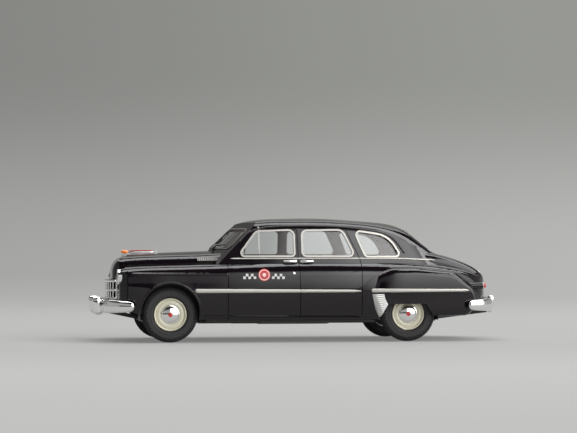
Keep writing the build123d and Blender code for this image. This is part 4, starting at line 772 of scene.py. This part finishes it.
def laid_on(name, points, faces, values, lift, node="body_shell"):
    """A mesh of the points pushed sideways on to the body's paint or another node, and lifted off it by so
    many metres."""
    if points[0, 1] > 0:
        faces = faces[:, ::-1]
    mesh = mesh_from(name, points, faces, values, closed=False)
    sheet = bpy.data.objects.new(name, mesh)
    bpy.context.scene.collection.objects.link(sheet)
    wrap = sheet.modifiers.new("lay", "SHRINKWRAP")
    wrap.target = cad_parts[node]
    wrap.wrap_method = "PROJECT"
    wrap.use_project_y = True
    wrap.use_positive_direction = wrap.use_negative_direction = True
    wrap.offset = lift
    wrap.wrap_mode = "OUTSIDE_SURFACE"
    graph = bpy.context.evaluated_depsgraph_get()
    laid = bpy.data.meshes.new_from_object(sheet.evaluated_get(graph))
    bpy.data.objects.remove(sheet)
    bpy.data.meshes.remove(mesh)
    laid.name = name
    return laid


def raise_dome(mesh, side, rise, power=6):
    """Lifts each point off the paint by rise times 1 - share to the power, so the edge stays down."""
    count = len(mesh.vertices)
    place = np.empty(count * 3, np.float32)
    share = np.empty(count, np.float32)
    mesh.vertices.foreach_get("co", place)
    mesh.attributes["out_share"].data.foreach_get("value", share)
    place = place.reshape(-1, 3)
    place[:, 1] += side * rise * MM * (1 - share**power)
    mesh.vertices.foreach_set("co", place.ravel())
    mesh.update()


def strip(path, half_width, start_y, end=0.02, lines=9):
    """A flat strip beside the body along a path of X and Z. half_width is one number, or one for each point.
    The value is 0 on the path, and 1 along both edges and, over a share of its length, at both ends."""
    path = np.asarray(path, float)
    run = along_line(path)
    across = np.linspace(-1, 1, lines)[None, :]
    x = path[:, :1] - half_width * across * run[:, 1:]
    z = path[:, 1:] + half_width * across * run[:, :1]
    from_end = np.abs(np.linspace(-1, 1, len(path)))[:, None]
    value = np.maximum(np.abs(across), np.clip((from_end - 1 + end) / end, 0, 1))
    points = np.stack((x, start_y + 0 * x, z), axis=-1).reshape(-1, 3)
    return points, grid_faces(len(path), lines), value.ravel()


def smooth_path(points, count):
    """A path of count points through the given ones: a parabola through each three neighbours, and between two
    points the mean of both, weighted by nearness."""
    points = np.asarray(points, float)
    place = np.arange(len(points), dtype=float)
    at = np.linspace(0, len(points) - 1, count)
    low = np.clip(np.floor(at).astype(int), 0, len(points) - 2)

    def parabola(middle):
        middle = np.clip(middle, 1, len(points) - 2)
        t = (at - place[middle])[:, None]
        before, here, after = points[middle - 1], points[middle], points[middle + 1]
        return here + t * (after - before) / 2 + t**2 * (after - 2 * here + before) / 2

    share = (at - low)[:, None]
    return (1 - share) * parabola(low) + share * parabola(low + 1)


def patch(centre_x, centre_z, half_x, half_z, start_y, cells=6):
    """A flat square sheet of points beside the body."""
    step = np.linspace(-1, 1, cells + 1)
    u, v = np.meshgrid(step, step, indexing="ij")
    points = np.stack((centre_x + half_x * u, start_y + 0 * u, centre_z + half_z * v), axis=-1).reshape(-1, 3)
    return points, grid_faces(cells + 1, cells + 1), np.maximum(np.abs(u), np.abs(v)).ravel()


def round_patch(centre_x, centre_z, half_x, half_z, start_y, power=2.0, rings=10, steps=48):
    """A flat rounded sheet: a rounded box's outline, scaled by a share s that goes from 0 at its middle to 1 at
    its rim. Its value is s."""
    share, angle = np.meshgrid(np.linspace(0, 1, rings + 1), round_angles(steps), indexing="ij")
    across, upward = rounded_box(angle, power)
    points = np.stack(
        (centre_x + half_x * share * across, start_y + 0 * share, centre_z + half_z * share * upward), axis=-1
    )
    return points.reshape(-1, 3), grid_faces(rings + 1, steps, False, True), share.ravel()


class TAXI_OT_door_marks(Operator):
    """Print the checked bands and the red discs on both front doors"""

    bl_idname = "taxi.door_marks"
    bl_label = "Door marks"

    DISC_X, DISC_Z = -11.70, 20.80
    BANDS = (-18.25, -9.35)
    BAND_FOOT = 19.55

    def execute(self, context):
        sizes = context.scene.taxi_sizes
        cell = sizes.check / MM
        for side_name, side in SIDES:
            checks = []
            for start in self.BANDS:
                for column, row in ((0, 0), (2, 0), (4, 0), (1, 1), (3, 1)):
                    x, z = start + (column + 0.5) * cell, self.BAND_FOOT + (row + 0.5) * cell
                    checks.append(patch(x, z, cell / 2, cell / 2, side * BESIDE))
            mesh = laid_on(f"{side_name}_door_checks", *joined(checks), sizes.print_lift)
            add_piece(f"{side_name}_door_checks", mesh, "white_print")
            radius = sizes.roundel / MM
            disc = round_patch(self.DISC_X, self.DISC_Z, radius, radius, side * BESIDE)
            mesh = laid_on(f"{side_name}_door_disc", *disc, 1.4 * sizes.print_lift)
            add_piece(f"{side_name}_door_disc", mesh, "roundel_print")
        return {"FINISHED"}


class TAXI_OT_door_locks(Operator):
    """Make the lock buttons of the front doors and the filler flap of the left rear fender"""

    bl_idname = "taxi.door_locks"
    bl_label = "Locks and filler flap"

    LOCK_X, LOCK_Z = -2.40, 21.30
    FLAP_X, FLAP_Z, FLAP_HALF_X, FLAP_HALF_Z = 48.20, 21.25, 2.00, 0.72

    def execute(self, context):
        sizes = context.scene.taxi_sizes
        radius = sizes.lock / MM
        for side_name, side in SIDES:
            button = round_patch(self.LOCK_X, self.LOCK_Z, radius, radius, side * BESIDE)
            mesh = laid_on(f"{side_name}_lock", *button, sizes.print_lift)
            raise_dome(mesh, side, 0.16)
            add_piece(f"{side_name}_lock", mesh, "plated_chrome")
        flap = round_patch(self.FLAP_X, self.FLAP_Z, self.FLAP_HALF_X, self.FLAP_HALF_Z, LEFT * BESIDE, power=4)
        mesh = laid_on("filler_flap", *flap, 0.02 * MM)
        raise_dome(mesh, LEFT, 0.13)
        add_piece("filler_flap", mesh, "gloss_enamel")
        return {"FINISHED"}


class TAXI_OT_body_rails(Operator):
    """Make the drip rails over the doors, the ledges under them and the lips of the front arches"""

    bl_idname = "taxi.body_rails"
    bl_label = "Rails, ledges and lips"

    DRIP_RAIL = (
        (-18.9, 30.6), (-17.3, 32.9), (-14.6, 34.5), (-10.6, 35.5), (-5.0, 35.95), (1.0, 36.05), (7.0, 36.0),
        (13.0, 35.75), (18.5, 35.2), (24.0, 34.45), (27.6, 33.5), (30.2, 31.9), (32.0, 29.8), (33.5, 27.4),
    )
    LEDGE = ((-30.2, 8.10), (18.6, 7.85))
    ARCH_RADIUS = 9.3
    ARCH_RISE = 0.6
    ARCH_TURN = (-10, 176)

    def execute(self, context):
        x, z, _ = wheel_place("front", "left")
        angle = np.radians(np.linspace(*self.ARCH_TURN, 80))
        arch = np.stack(
            (x + self.ARCH_RADIUS * np.cos(angle), z + self.ARCH_RISE + self.ARCH_RADIUS * np.sin(angle)), axis=-1
        )
        rail = smooth_path(self.DRIP_RAIL, 120)
        ledge = np.linspace(*self.LEDGE, 90)
        for name, path, half_width, rise, power in (
            ("drip_rail", rail, 0.26, 0.34, 3),
            ("sill_ledge", ledge, 0.30, 0.30, 4),
            ("arch_lip", arch, 0.24, 0.16, 3),
        ):
            for side_name, side in SIDES:
                mesh = laid_on(f"{side_name}_{name}", *strip(path, half_width, side * BESIDE), THIN_LIFT)
                raise_dome(mesh, side, rise, power)
                add_piece(f"{side_name}_{name}", mesh, "gloss_enamel", sharp=60)
        return {"FINISHED"}


def outward_normal(line, outward):
    """The unit normals of a line of X and Y from -Y to +Y, towards +X for an outward of 1 and -X for -1."""
    run = along_line(line)
    return outward * np.stack((run[:, 1], -run[:, 0]), axis=-1)


def swept_bar(line, outward, level, half_depth, half_height, power=2.4, steps=24):
    """A bar along a line of X and Y whose section, a rounded box, closes at both ends: a point is half depth
    times the first share along the outward normal, and half height times the second above the level."""
    normal = outward_normal(line, outward)
    t = np.linspace(-1, 1, len(line))[:, None]
    end = np.clip(1 - np.abs(t) ** 40, 0, 1) ** 0.5
    deep, high = rounded_box(round_angles(steps)[None, :], power)
    deep, high = end * half_depth * deep, end * half_height * high
    points = np.stack((line[:, :1] + normal[:, :1] * deep, line[:, 1:] + normal[:, 1:] * deep, level + high), axis=-1)
    return points.reshape(-1, 3), grid_faces(len(line), steps, False, True), np.zeros(len(line) * steps)


class TAXI_OT_bumpers(Operator):
    """Make the bulged bumpers with their overriders"""

    bl_idname = "taxi.bumpers"
    bl_label = "Bumpers"

    # X and Y of the bar's back at its middle, half way, shoulder and tip, level of the bar, X of the overriders' face
    FRONT = (((-60.86, 0), (-60.1, 8.6), (-57.78, 17.0), (-51.5, 20.75)), 11.14, -64.12)
    REAR = (((62.33, 0), (61.7, 7.8), (59.8, 15.5), (52.5, 20.3)), 11.21, 64.10)
    OVERRIDER_Y, OVERRIDER_HALF_WIDTH, OVERRIDER_HALF_HEIGHT = 7.96, 1.18, 2.85
    STANDS_OFF, HALF_DEPTH, HALF_HEIGHT, THINNER_ENDS = 0.62, 0.80, 2.2, 0.65
    STEPS = 121

    def overrider(self, back_x, face_x, level, y):
        """An upright rounded block: a superellipse in plan at each height, which closes at both ends and whose
        face leans outwards towards the top."""
        t = np.linspace(-1, 1, 25)[:, None]
        end = np.clip(1 - np.abs(t) ** 5, 0, 1) ** 0.4
        face = face_x - 0.75 * np.sign(face_x) * ((1 - t) / 2) ** 1.5
        middle, half = (face + back_x) / 2, (face - back_x) / 2
        deep, wide = rounded_box(round_angles(28)[None, :], 2 / 0.7)
        height = level + 0.08 + self.OVERRIDER_HALF_HEIGHT * t
        points = (middle + end * half * deep, y + end * self.OVERRIDER_HALF_WIDTH * wide, height + 0 * deep)
        return np.stack(points, axis=-1).reshape(-1, 3), grid_faces(25, 28, False, True), np.zeros(25 * 28)

    def execute(self, context):
        for name, (half, level, face_x), outward in (
            ("front_bumper", self.FRONT, -1), ("rear_bumper", self.REAR, 1),
        ):
            half = np.array(half)
            line = smooth_path(np.concatenate((half[:0:-1] * (1, -1), half)), self.STEPS)
            line = line + self.STANDS_OFF * outward_normal(line, outward)
            narrower = self.THINNER_ENDS * np.abs(np.linspace(-1, 1, self.STEPS)) ** 3
            shells = [swept_bar(line, outward, level, self.HALF_DEPTH, (self.HALF_HEIGHT - narrower)[:, None], 2.3)]
            for side in (LEFT, RIGHT):
                shells.append(self.overrider(half[0, 0] - outward * 0.4, face_x, level, side * self.OVERRIDER_Y))
            mesh = mesh_from(f"{name}_bar", *joined(shells))
            add_piece(
                f"{name}_bar", mesh, "plated_chrome", stands_for=(name,), sharp=50
            )
        return {"FINISHED"}


class TAXI_OT_grille_bars(Operator):
    """Make the plated grille: three curved bars and a row of uprights before a flat black sheet with no gloss, which
    is painted shade behind the grille.
    """

    bl_idname = "taxi.grille_bars"
    bl_label = "Grille"

    MIDDLE_X, END_X, END_Y = -59.35, -57.05, 13.15
    LEVELS = (13.52, 16.05, 18.89)
    UPRIGHTS = 11
    POST_HALF_DEPTH, POST_HALF_WIDTH, POST_HALF_HEIGHT = 0.36, 0.22, 2.7

    def line(self, setback, count=61):
        """A parabola through the grille's middle and both ends, moved back."""
        y = np.linspace(-self.END_Y, self.END_Y, count)
        return np.stack((self.MIDDLE_X + (self.END_X - self.MIDDLE_X) * (y / self.END_Y) ** 2 + setback, y), axis=-1)

    def execute(self, context):
        shells = [swept_bar(self.line(0.52), -1, level, 0.46, 0.40, 2.6, 16) for level in self.LEVELS]
        middle = (self.LEVELS[0] + self.LEVELS[-1]) / 2
        t, angle = np.linspace(-1, 1, 6)[:, None], round_angles(12)[None, :]
        for x, y in self.line(0.58, self.UPRIGHTS):
            y = y * (1 - self.POST_HALF_WIDTH / self.END_Y)
            post = np.stack(np.broadcast_arrays(
                x + self.POST_HALF_DEPTH * np.cos(angle), y + self.POST_HALF_WIDTH * np.sin(angle),
                middle + self.POST_HALF_HEIGHT * t,
            ), axis=-1)
            shells.append((post.reshape(-1, 3), grid_faces(6, 12, False, True), np.zeros(72)))
        mesh = mesh_from("grille_bars", *joined(shells), closed=False)
        add_piece("grille_bars", mesh, "plated_chrome", stands_for=("grille",), sharp=50)
        # Painted shade: a matt black sheet fills the grille's gaps where shade falls.
        back = swept_bar(self.line(0.60), -1, middle, 0.07, 2.9, 8, 24)
        mesh = mesh_from("grille_shade_sheet", *back)
        add_piece("grille_shade_sheet", mesh, "shade_black")
        return {"FINISHED"}


class TAXI_OT_small_rails(Operator):
    """Make the vent posts in the front windows and the rails under the sills"""

    bl_idname = "taxi.small_rails"
    bl_label = "Vent posts and under rails"

    POST = ((-12.85, 27.1), (-12.65, 33.3))
    RAIL = (-14.5, 9.7, 6.05, 18.0)

    def execute(self, context):
        for side_name, side in SIDES:
            post = strip(np.linspace(*self.POST, 40), 0.17, side * BESIDE)
            mesh = laid_on(f"{side_name}_vent_post", *post, 0.02 * MM, "side_glass")
            raise_dome(mesh, side, 0.14, 3)
            add_piece(f"{side_name}_vent_post", mesh, "printed_silver", sharp=60)
            start, end, level, y = self.RAIL
            t = np.linspace(-1, 1, 21)
            round_off = np.clip(1 - np.abs(t) ** 30, 0, 1)
            rail = spun_along_x(
                (start + end) / 2 + (end - start) / 2 * t, 0.5 * round_off, level + 0 * t, 0.45 * round_off, 5, 20
            )
            rail[..., 1] += side * y
            mesh = mesh_from(f"{side_name}_under_rail", rail, grid_faces(21, 20, False, True))
            add_piece(f"{side_name}_under_rail", mesh, "satin_base")
        return {"FINISHED"}


class TAXI_OT_half_round_mouldings(Operator):
    """Make the half-round mouldings under the windows and along the doors and fenders"""

    bl_idname = "taxi.half_round_mouldings"
    bl_label = "Mouldings"

    BELT = ((-21.9, 25.82), (-4.0, 25.84), (14.0, 25.84), (30.0, 25.80), (38.0, 25.55), (44.0, 25.25))
    DOOR = ((-33.2, 15.92), (18.8, 15.78))
    FENDER = ((21.8, 15.90), (53.5, 15.86))

    def execute(self, context):
        count = 120
        share = np.linspace(0, 1, count)[:, None]
        for name, path, half_width, rise, node in (
            ("belt_strip", smooth_path(self.BELT, count), 0.22 + 0 * share, 0.24, "belt_mouldings"),
            ("door_strip", np.linspace(*self.DOOR, count), 0.62 - 0.22 * share, 0.30, "side_mouldings"),
            ("fender_strip", np.linspace(*self.FENDER, count), 0.60 - 0.20 * share, 0.30, "fender_mouldings"),
        ):
            tip = np.sqrt(np.clip(np.minimum(share / 0.012, (1 - share) / 0.05), 0, 1))
            for side_name, side in SIDES:
                mesh = laid_on(f"{side_name}_{name}", *strip(path, half_width * tip, side * BESIDE), THIN_LIFT)
                raise_dome(mesh, side, rise, 2.4)
                add_piece(
                    f"{side_name}_{name}", mesh, "printed_silver", stands_for=(node,),
                    sharp=60,
                )
        return {"FINISHED"}


class TAXI_OT_wheel_wells(Operator):
    """Make the black wells that close the body above each wheel"""

    bl_idname = "taxi.wheel_wells"
    bl_label = "Wheel wells"

    RADIUS, RISE, HUB, WALL = 9.35, 0.40, 1.30, 0.30
    INNER, OUTER = -2.85, 2.60
    TURN = (-14, 194)
    STEPS = 49

    def execute(self, context):
        inside = np.array(((self.HUB, self.INNER), (self.RADIUS, self.INNER), (self.RADIUS, self.OUTER)))
        outside = inside + np.array(((0, -self.WALL), (self.WALL, -self.WALL), (self.WALL, 0)))
        profile = np.concatenate((inside, outside[::-1]))
        closed = np.concatenate((inside, inside[::-1]))
        angle = np.radians(np.linspace(*self.TURN, self.STEPS))
        angle = np.concatenate((angle[:1], angle, angle[-1:]))[:, None]
        rows = np.stack([closed] + [profile] * self.STEPS + [closed])
        radius, offset = rows[..., 0], rows[..., 1]
        for wheel, _, side, (x, z, y) in each_wheel():
            points = np.stack(
                (x + radius * np.cos(angle), y + side * offset, z + self.RISE + radius * np.sin(angle)), axis=-1
            )
            mesh = mesh_from(f"{wheel}_well", points, grid_faces(len(rows), len(profile), False, True))
            add_piece(f"{wheel}_well", mesh, "satin_base")
        return {"FINISHED"}


class TAXI_OT_bonnet_figure(Operator):
    """Make the amber bulb, the red blade and the plated web of the bonnet's ornament"""

    bl_idname = "taxi.bonnet_figure"
    bl_label = "Bonnet ornament"

    BULB = (-54.34, -51.94, 27.88)
    BLADE = ((-52.0, 28.10), (-49.5, 28.27), (-46.5, 28.27), (-43.72, 28.20))

    def execute(self, context):
        t = np.linspace(-1, 1, 25)
        start, end, level = self.BULB
        round_off = np.sqrt(np.clip(1 - t**2, 0, 1))
        x = (start + end) / 2 + (end - start) / 2 * t
        bulb = spun_along_x(x, 0.62 * round_off, level + 0 * t, 0.60 * round_off)
        mesh = mesh_from("amber_bulb", bulb, grid_faces(25, 32, False, True))
        add_piece("amber_bulb", mesh, "amber_moulding", stands_for=("ornament_nose",))
        line = smooth_path(self.BLADE, 25)
        end = np.clip(1 - np.abs(t) ** 12, 0, 1)
        for name, half_width, middle, half_height, finish, slot in (
            ("red_blade", 0.20, line[:, 1], 0.17, "red_fin", "lens_red"),
            ("blade_web", 0.16, line[:, 1] - 0.52, 0.38, "plated_chrome", "bright_chrome"),
        ):
            shape = spun_along_x(line[:, 0], half_width * end, middle, half_height * end, 3.0, 20)
            mesh = mesh_from(name, shape, grid_faces(25, 20, False, True))
            add_piece(name, mesh, finish, stands_for=("ornament_fin",))
        return {"FINISHED"}


class TAXI_OT_tail_rings(Operator):
    """Make the bright rings round the tail lamps"""

    bl_idname = "taxi.tail_rings"
    bl_label = "Tail lamp rings"

    RING, TUBE = 0.84, 0.17

    def execute(self, context):
        low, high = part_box("tail_lamp_rims")
        end_x, level, across = high[0] / MM, (low[2] + high[2]) / 2 / MM, high[1] / MM - 1.0
        around, tube = round_angles(40)[:, None], round_angles(14)[None, :]
        radius = self.RING + self.TUBE * np.cos(tube)
        for side_name, side in SIDES:
            points = np.stack(
                (end_x - 0.08 + self.TUBE * np.sin(tube) + 0 * around, side * across + radius * np.cos(around),
                 level + radius * np.sin(around)), axis=-1,
            )
            mesh = mesh_from(f"{side_name}_tail_ring", points, grid_faces(40, 14, True, True))
            add_piece(f"{side_name}_tail_ring", mesh, "plated_chrome")
        return {"FINISHED"}


class TAXI_OT_bow_handles(Operator):
    """Make the four bowed door handles on their oval plates"""

    bl_idname = "taxi.bow_handles"
    bl_label = "Door handles"

    HALF_GAP = 0.45
    REACH = 4.5
    PLATE_AT, PLATE_HALF_X, PLATE_HALF_Z = 1.15, 0.78, 0.60

    def execute(self, context):
        low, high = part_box("door_handles")
        out_y, middle_z = high[1] / MM, (low[2] + high[2]) / 2 / MM
        seam_x = (low[0] + high[0]) / 2 / MM
        t = np.linspace(0, 1, 26)
        end = np.sqrt(np.clip(1 - (2 * t - 1) ** 12, 0, 1))
        sunk = 0.20 * (2 * t - 1) ** 2 + 0.22 * (t > 0.93)
        around, post_t = round_angles(25)[:, None], np.linspace(0, 1, 6)
        shells = []
        for side in (LEFT, RIGHT):
            for way in (-1, 1):
                x = seam_x + way * (self.HALF_GAP + self.REACH * t)
                lever = spun_along_x(x, 0.20 * end, 0 * t, (0.46 - 0.20 * t) * end, 2.6, 20)
                lever[..., 1] += side * (out_y - 0.22 - sunk[:, None])
                lever[..., 2] += middle_z + 0.10
                shells.append((lever.reshape(-1, 3), grid_faces(26, 20, False, True), np.zeros(26 * 20)))
                plate = round_patch(
                    seam_x + way * self.PLATE_AT, middle_z, self.PLATE_HALF_X, self.PLATE_HALF_Z,
                    side * (out_y - 0.62), rings=8, steps=28,
                )
                plate[0][:, 1] += side * 0.42 * (1 - plate[2] ** 4)
                if side > 0:
                    plate = (plate[0], plate[1][:, ::-1], plate[2])
                shells.append(plate)
                post_x = seam_x + way * (self.HALF_GAP + 0.9 * self.REACH)
                post = np.stack(np.broadcast_arrays(
                    post_x + 0.24 * np.cos(around), side * (out_y - 0.95 + 0.6 * post_t),
                    middle_z + 0.10 + 0.22 * np.sin(around),
                ), axis=-1)
                shells.append((post.reshape(-1, 3), grid_faces(25, 6, True, False), np.zeros(150)))
        mesh = mesh_from("bow_handles", *joined(shells), closed=False)
        add_piece(
            "bow_handles", mesh, "plated_chrome", stands_for=("door_handles",), sharp=50
        )
        return {"FINISHED"}


class TAXI_OT_stage(Operator):
    """Set up the paper sweep, the lamps and the camera"""

    bl_idname = "taxi.stage"
    bl_label = "Stage"

    def paper(self, studio):
        """A sweep of paper: flat towards the back, a quarter round, then upright, carried along X. Its tone goes by
        place, and it shows that tone to the camera and in reflections: painted light and shade, lighter towards the
        camera and to the right, darker further back and high on the wall. Near the car it shows only a share of it,
        so that the floor keeps the shadow, and that share is painted light that lightens the shadow."""
        flat = np.stack((np.linspace(-1600, 1500, 24), np.zeros(24)), axis=-1)
        turn = np.linspace(0, np.pi / 2, 25)[1:]
        bend = np.stack((1500 + 700 * np.sin(turn), 700 - 700 * np.cos(turn)), axis=-1)
        wall = np.stack((np.full(8, 2200.0), np.linspace(800, 2000, 8)), axis=-1)
        section = np.concatenate((flat, bend, wall))
        across = np.linspace(-2400, 2400, 9)[:, None]
        points = np.stack(
            (across + 0 * section[:, 0], section[:, 0] + 0 * across, section[:, 1] + 0 * across), axis=-1
        )
        rows, columns = points.shape[:2]
        mesh = bpy.data.meshes.new("paper_sweep")
        mesh.from_pydata((points.reshape(-1, 3) * MM).tolist(), [], grid_faces(rows, columns).tolist())
        mesh.shade_smooth()
        sweep = bpy.data.objects.new("paper_sweep", mesh)
        bpy.context.scene.collection.objects.link(sweep)
        paper = Finish("paper", studio.paper, Roughness=0.9)
        tree = paper.tree
        parts = tree.nodes.new("ShaderNodeSeparateXYZ")
        tree.links.new(paper.place, parts.inputs[0])
        # Painted light and shade: lightest towards the camera, darker further back and darkest high up the wall.
        tone = studio.near_tone
        for axis, low, high, other in (
            ("Y", 0.1, 1.8, studio.far_tone), ("Y", 0.25, 0.0, studio.floor_tone),
            ("Y", -0.04, -0.20, studio.front_tone), ("Z", 0.0, 0.25, studio.top_tone),
        ):
            tone = mix_colour(tree, ramp(tree, parts.outputs[axis], low, high), tone, other)
        # Painted light: the tone is multiplied by 0.87 on the left, rising to 1.12 on the right.
        side = mix_colour(tree, ramp(tree, parts.outputs["X"], -0.15, 0.70), (0.87, 0.87, 0.87), (1.12, 1.12, 1.12))
        tone = vector_node(tree, "MULTIPLY", tone, side).outputs[0]
        glow = tree.nodes.new("ShaderNodeEmission")
        tree.links.new(tone, glow.inputs["Color"])
        path = tree.nodes.new("ShaderNodeLightPath")
        seen = math_node(tree, "MAXIMUM", path.outputs["Is Camera Ray"], path.outputs["Is Glossy Ray"])
        seen = math_node(tree, "MAXIMUM", seen, path.outputs["Is Transmission Ray"])
        # Painted light: near the car the paper glows at this share of its tone, which lightens the car's shadow.
        behind = mix_number(tree, ramp(tree, parts.outputs["Y"], 0.12, 0.75), studio.glow, 1.0)
        paper.mix_over(product(tree, seen, behind), glow)
        mesh.materials.append(paper.material)

    def room(self, scene, studio):
        """A dim room with one wide soft light in front and to the right. That light grows with height up to the
        middle of its span, and is gone higher up, so a dark band parts it from the lamp overhead; far to the
        right it reaches higher. A narrow dark band lies over the floor's far edge to the left."""
        world = bpy.data.worlds.new("studio")
        world.use_nodes = True
        tree = world.node_tree
        parts = tree.nodes.new("ShaderNodeSeparateXYZ")
        tree.links.new(tree.nodes.new("ShaderNodeTexCoord").outputs["Generated"], parts.inputs[0])
        x, y, z = (parts.outputs[axis] for axis in "XYZ")
        raised = math_node(tree, "SUBTRACT", z, product(tree, ramp(tree, x, 0.30, 0.65), 0.32))
        light = product(
            tree, ramp(tree, x, 0.03, 0.25), ramp(tree, y, 0.05, -0.30), ramp(tree, z, -0.25, 0.40),
            ramp(tree, raised, 0.70, 0.52),
        )
        gap = product(
            tree, ramp(tree, z, -0.04, 0.0), ramp(tree, z, 0.13, 0.08), ramp(tree, x, 0.10, 0.06),
            ramp(tree, y, -0.3, -0.6),
        )
        dark = math_node(tree, "MAXIMUM", gap, ramp(tree, z, 0.28, 0.58))
        room = mix_colour(tree, dark, studio.room_tone, studio.dark_tone)
        bright = tuple(value + studio.side_light for value in studio.room_tone)
        tree.links.new(mix_colour(tree, light, room, bright), tree.nodes["Background"].inputs["Color"])
        scene.world = world

    def lamp(self, name, place, aim, size, power):
        """A soft rectangular lamp at place, in metres, turned towards aim."""
        data = bpy.data.lights.new(name, "AREA")
        data.shape = "RECTANGLE"
        data.size, data.size_y = size
        data.energy = power
        lamp = bpy.data.objects.new(name, data)
        bpy.context.scene.collection.objects.link(lamp)
        lamp.location = place
        lamp.rotation_euler = (Vector(aim) - Vector(place)).to_track_quat("-Z", "Y").to_euler()

    def execute(self, context):
        scene = context.scene
        studio = scene.taxi_studio
        self.paper(studio)
        self.lamp("overhead_lamp", (0.33, 0.02, 0.80), (0.33, 0.02, 0), (1.75, 0.36), studio.overhead)
        self.lamp("back_lamp", (0.05, 0.62, 0.75), (0, 0, 0), (1.2, 0.5), studio.back)
        self.room(scene, studio)
        lens = bpy.data.cameras.new("camera")
        lens.lens, lens.sensor_width = studio.lens, 36
        camera = bpy.data.objects.new("camera", lens)
        scene.collection.objects.link(camera)
        camera.location = studio.place
        camera.rotation_euler = (math.pi / 2 + studio.tilt, 0, -studio.turn)
        lens.clip_start, lens.clip_end = 0.01, 20
        scene.camera = camera
        scene.view_settings.view_transform = "Standard"
        return {"FINISHED"}


# Add-on


OPERATORS = (
    TAXI_OT_stage, TAXI_OT_node_finishes, TAXI_OT_tyres, TAXI_OT_wheels, TAXI_OT_hub_caps, TAXI_OT_door_marks,
    TAXI_OT_door_locks, TAXI_OT_body_rails, TAXI_OT_half_round_mouldings, TAXI_OT_wheel_wells,
    TAXI_OT_bonnet_figure, TAXI_OT_tail_rings, TAXI_OT_bow_handles, TAXI_OT_bumpers, TAXI_OT_grille_bars,
    TAXI_OT_small_rails,
)


class TAXI_PT_pieces(Panel):
    """The taxi's settings and the pieces it is dressed with"""

    bl_idname = "TAXI_PT_pieces"
    bl_label = "Taxi"
    bl_space_type = "VIEW_3D"
    bl_region_type = "UI"
    bl_category = "Taxi"

    def draw(self, context):
        for operator in OPERATORS:
            self.layout.operator(operator.bl_idname)
        for settings in (context.scene.taxi_sizes, context.scene.taxi_colours, context.scene.taxi_studio):
            box = self.layout.box()
            for name in settings.bl_rna.properties.keys():
                if name not in ("rna_type", "name"):
                    box.prop(settings, name)


CLASSES = (TaxiSizes, TaxiColours, TaxiStudio, *OPERATORS, TAXI_PT_pieces)


def register():
    for item in CLASSES:
        bpy.utils.register_class(item)
    bpy.types.Scene.taxi_sizes = PointerProperty(type=TaxiSizes)
    bpy.types.Scene.taxi_colours = PointerProperty(type=TaxiColours)
    bpy.types.Scene.taxi_studio = PointerProperty(type=TaxiStudio)


def unregister():
    del bpy.types.Scene.taxi_sizes, bpy.types.Scene.taxi_colours, bpy.types.Scene.taxi_studio
    for item in reversed(CLASSES):
        bpy.utils.unregister_class(item)


def main():
    register()
    for operator in OPERATORS:
        group, name = operator.bl_idname.split(".")
        getattr(getattr(bpy.ops, group), name)()


if __name__ == "__main__":
    main()
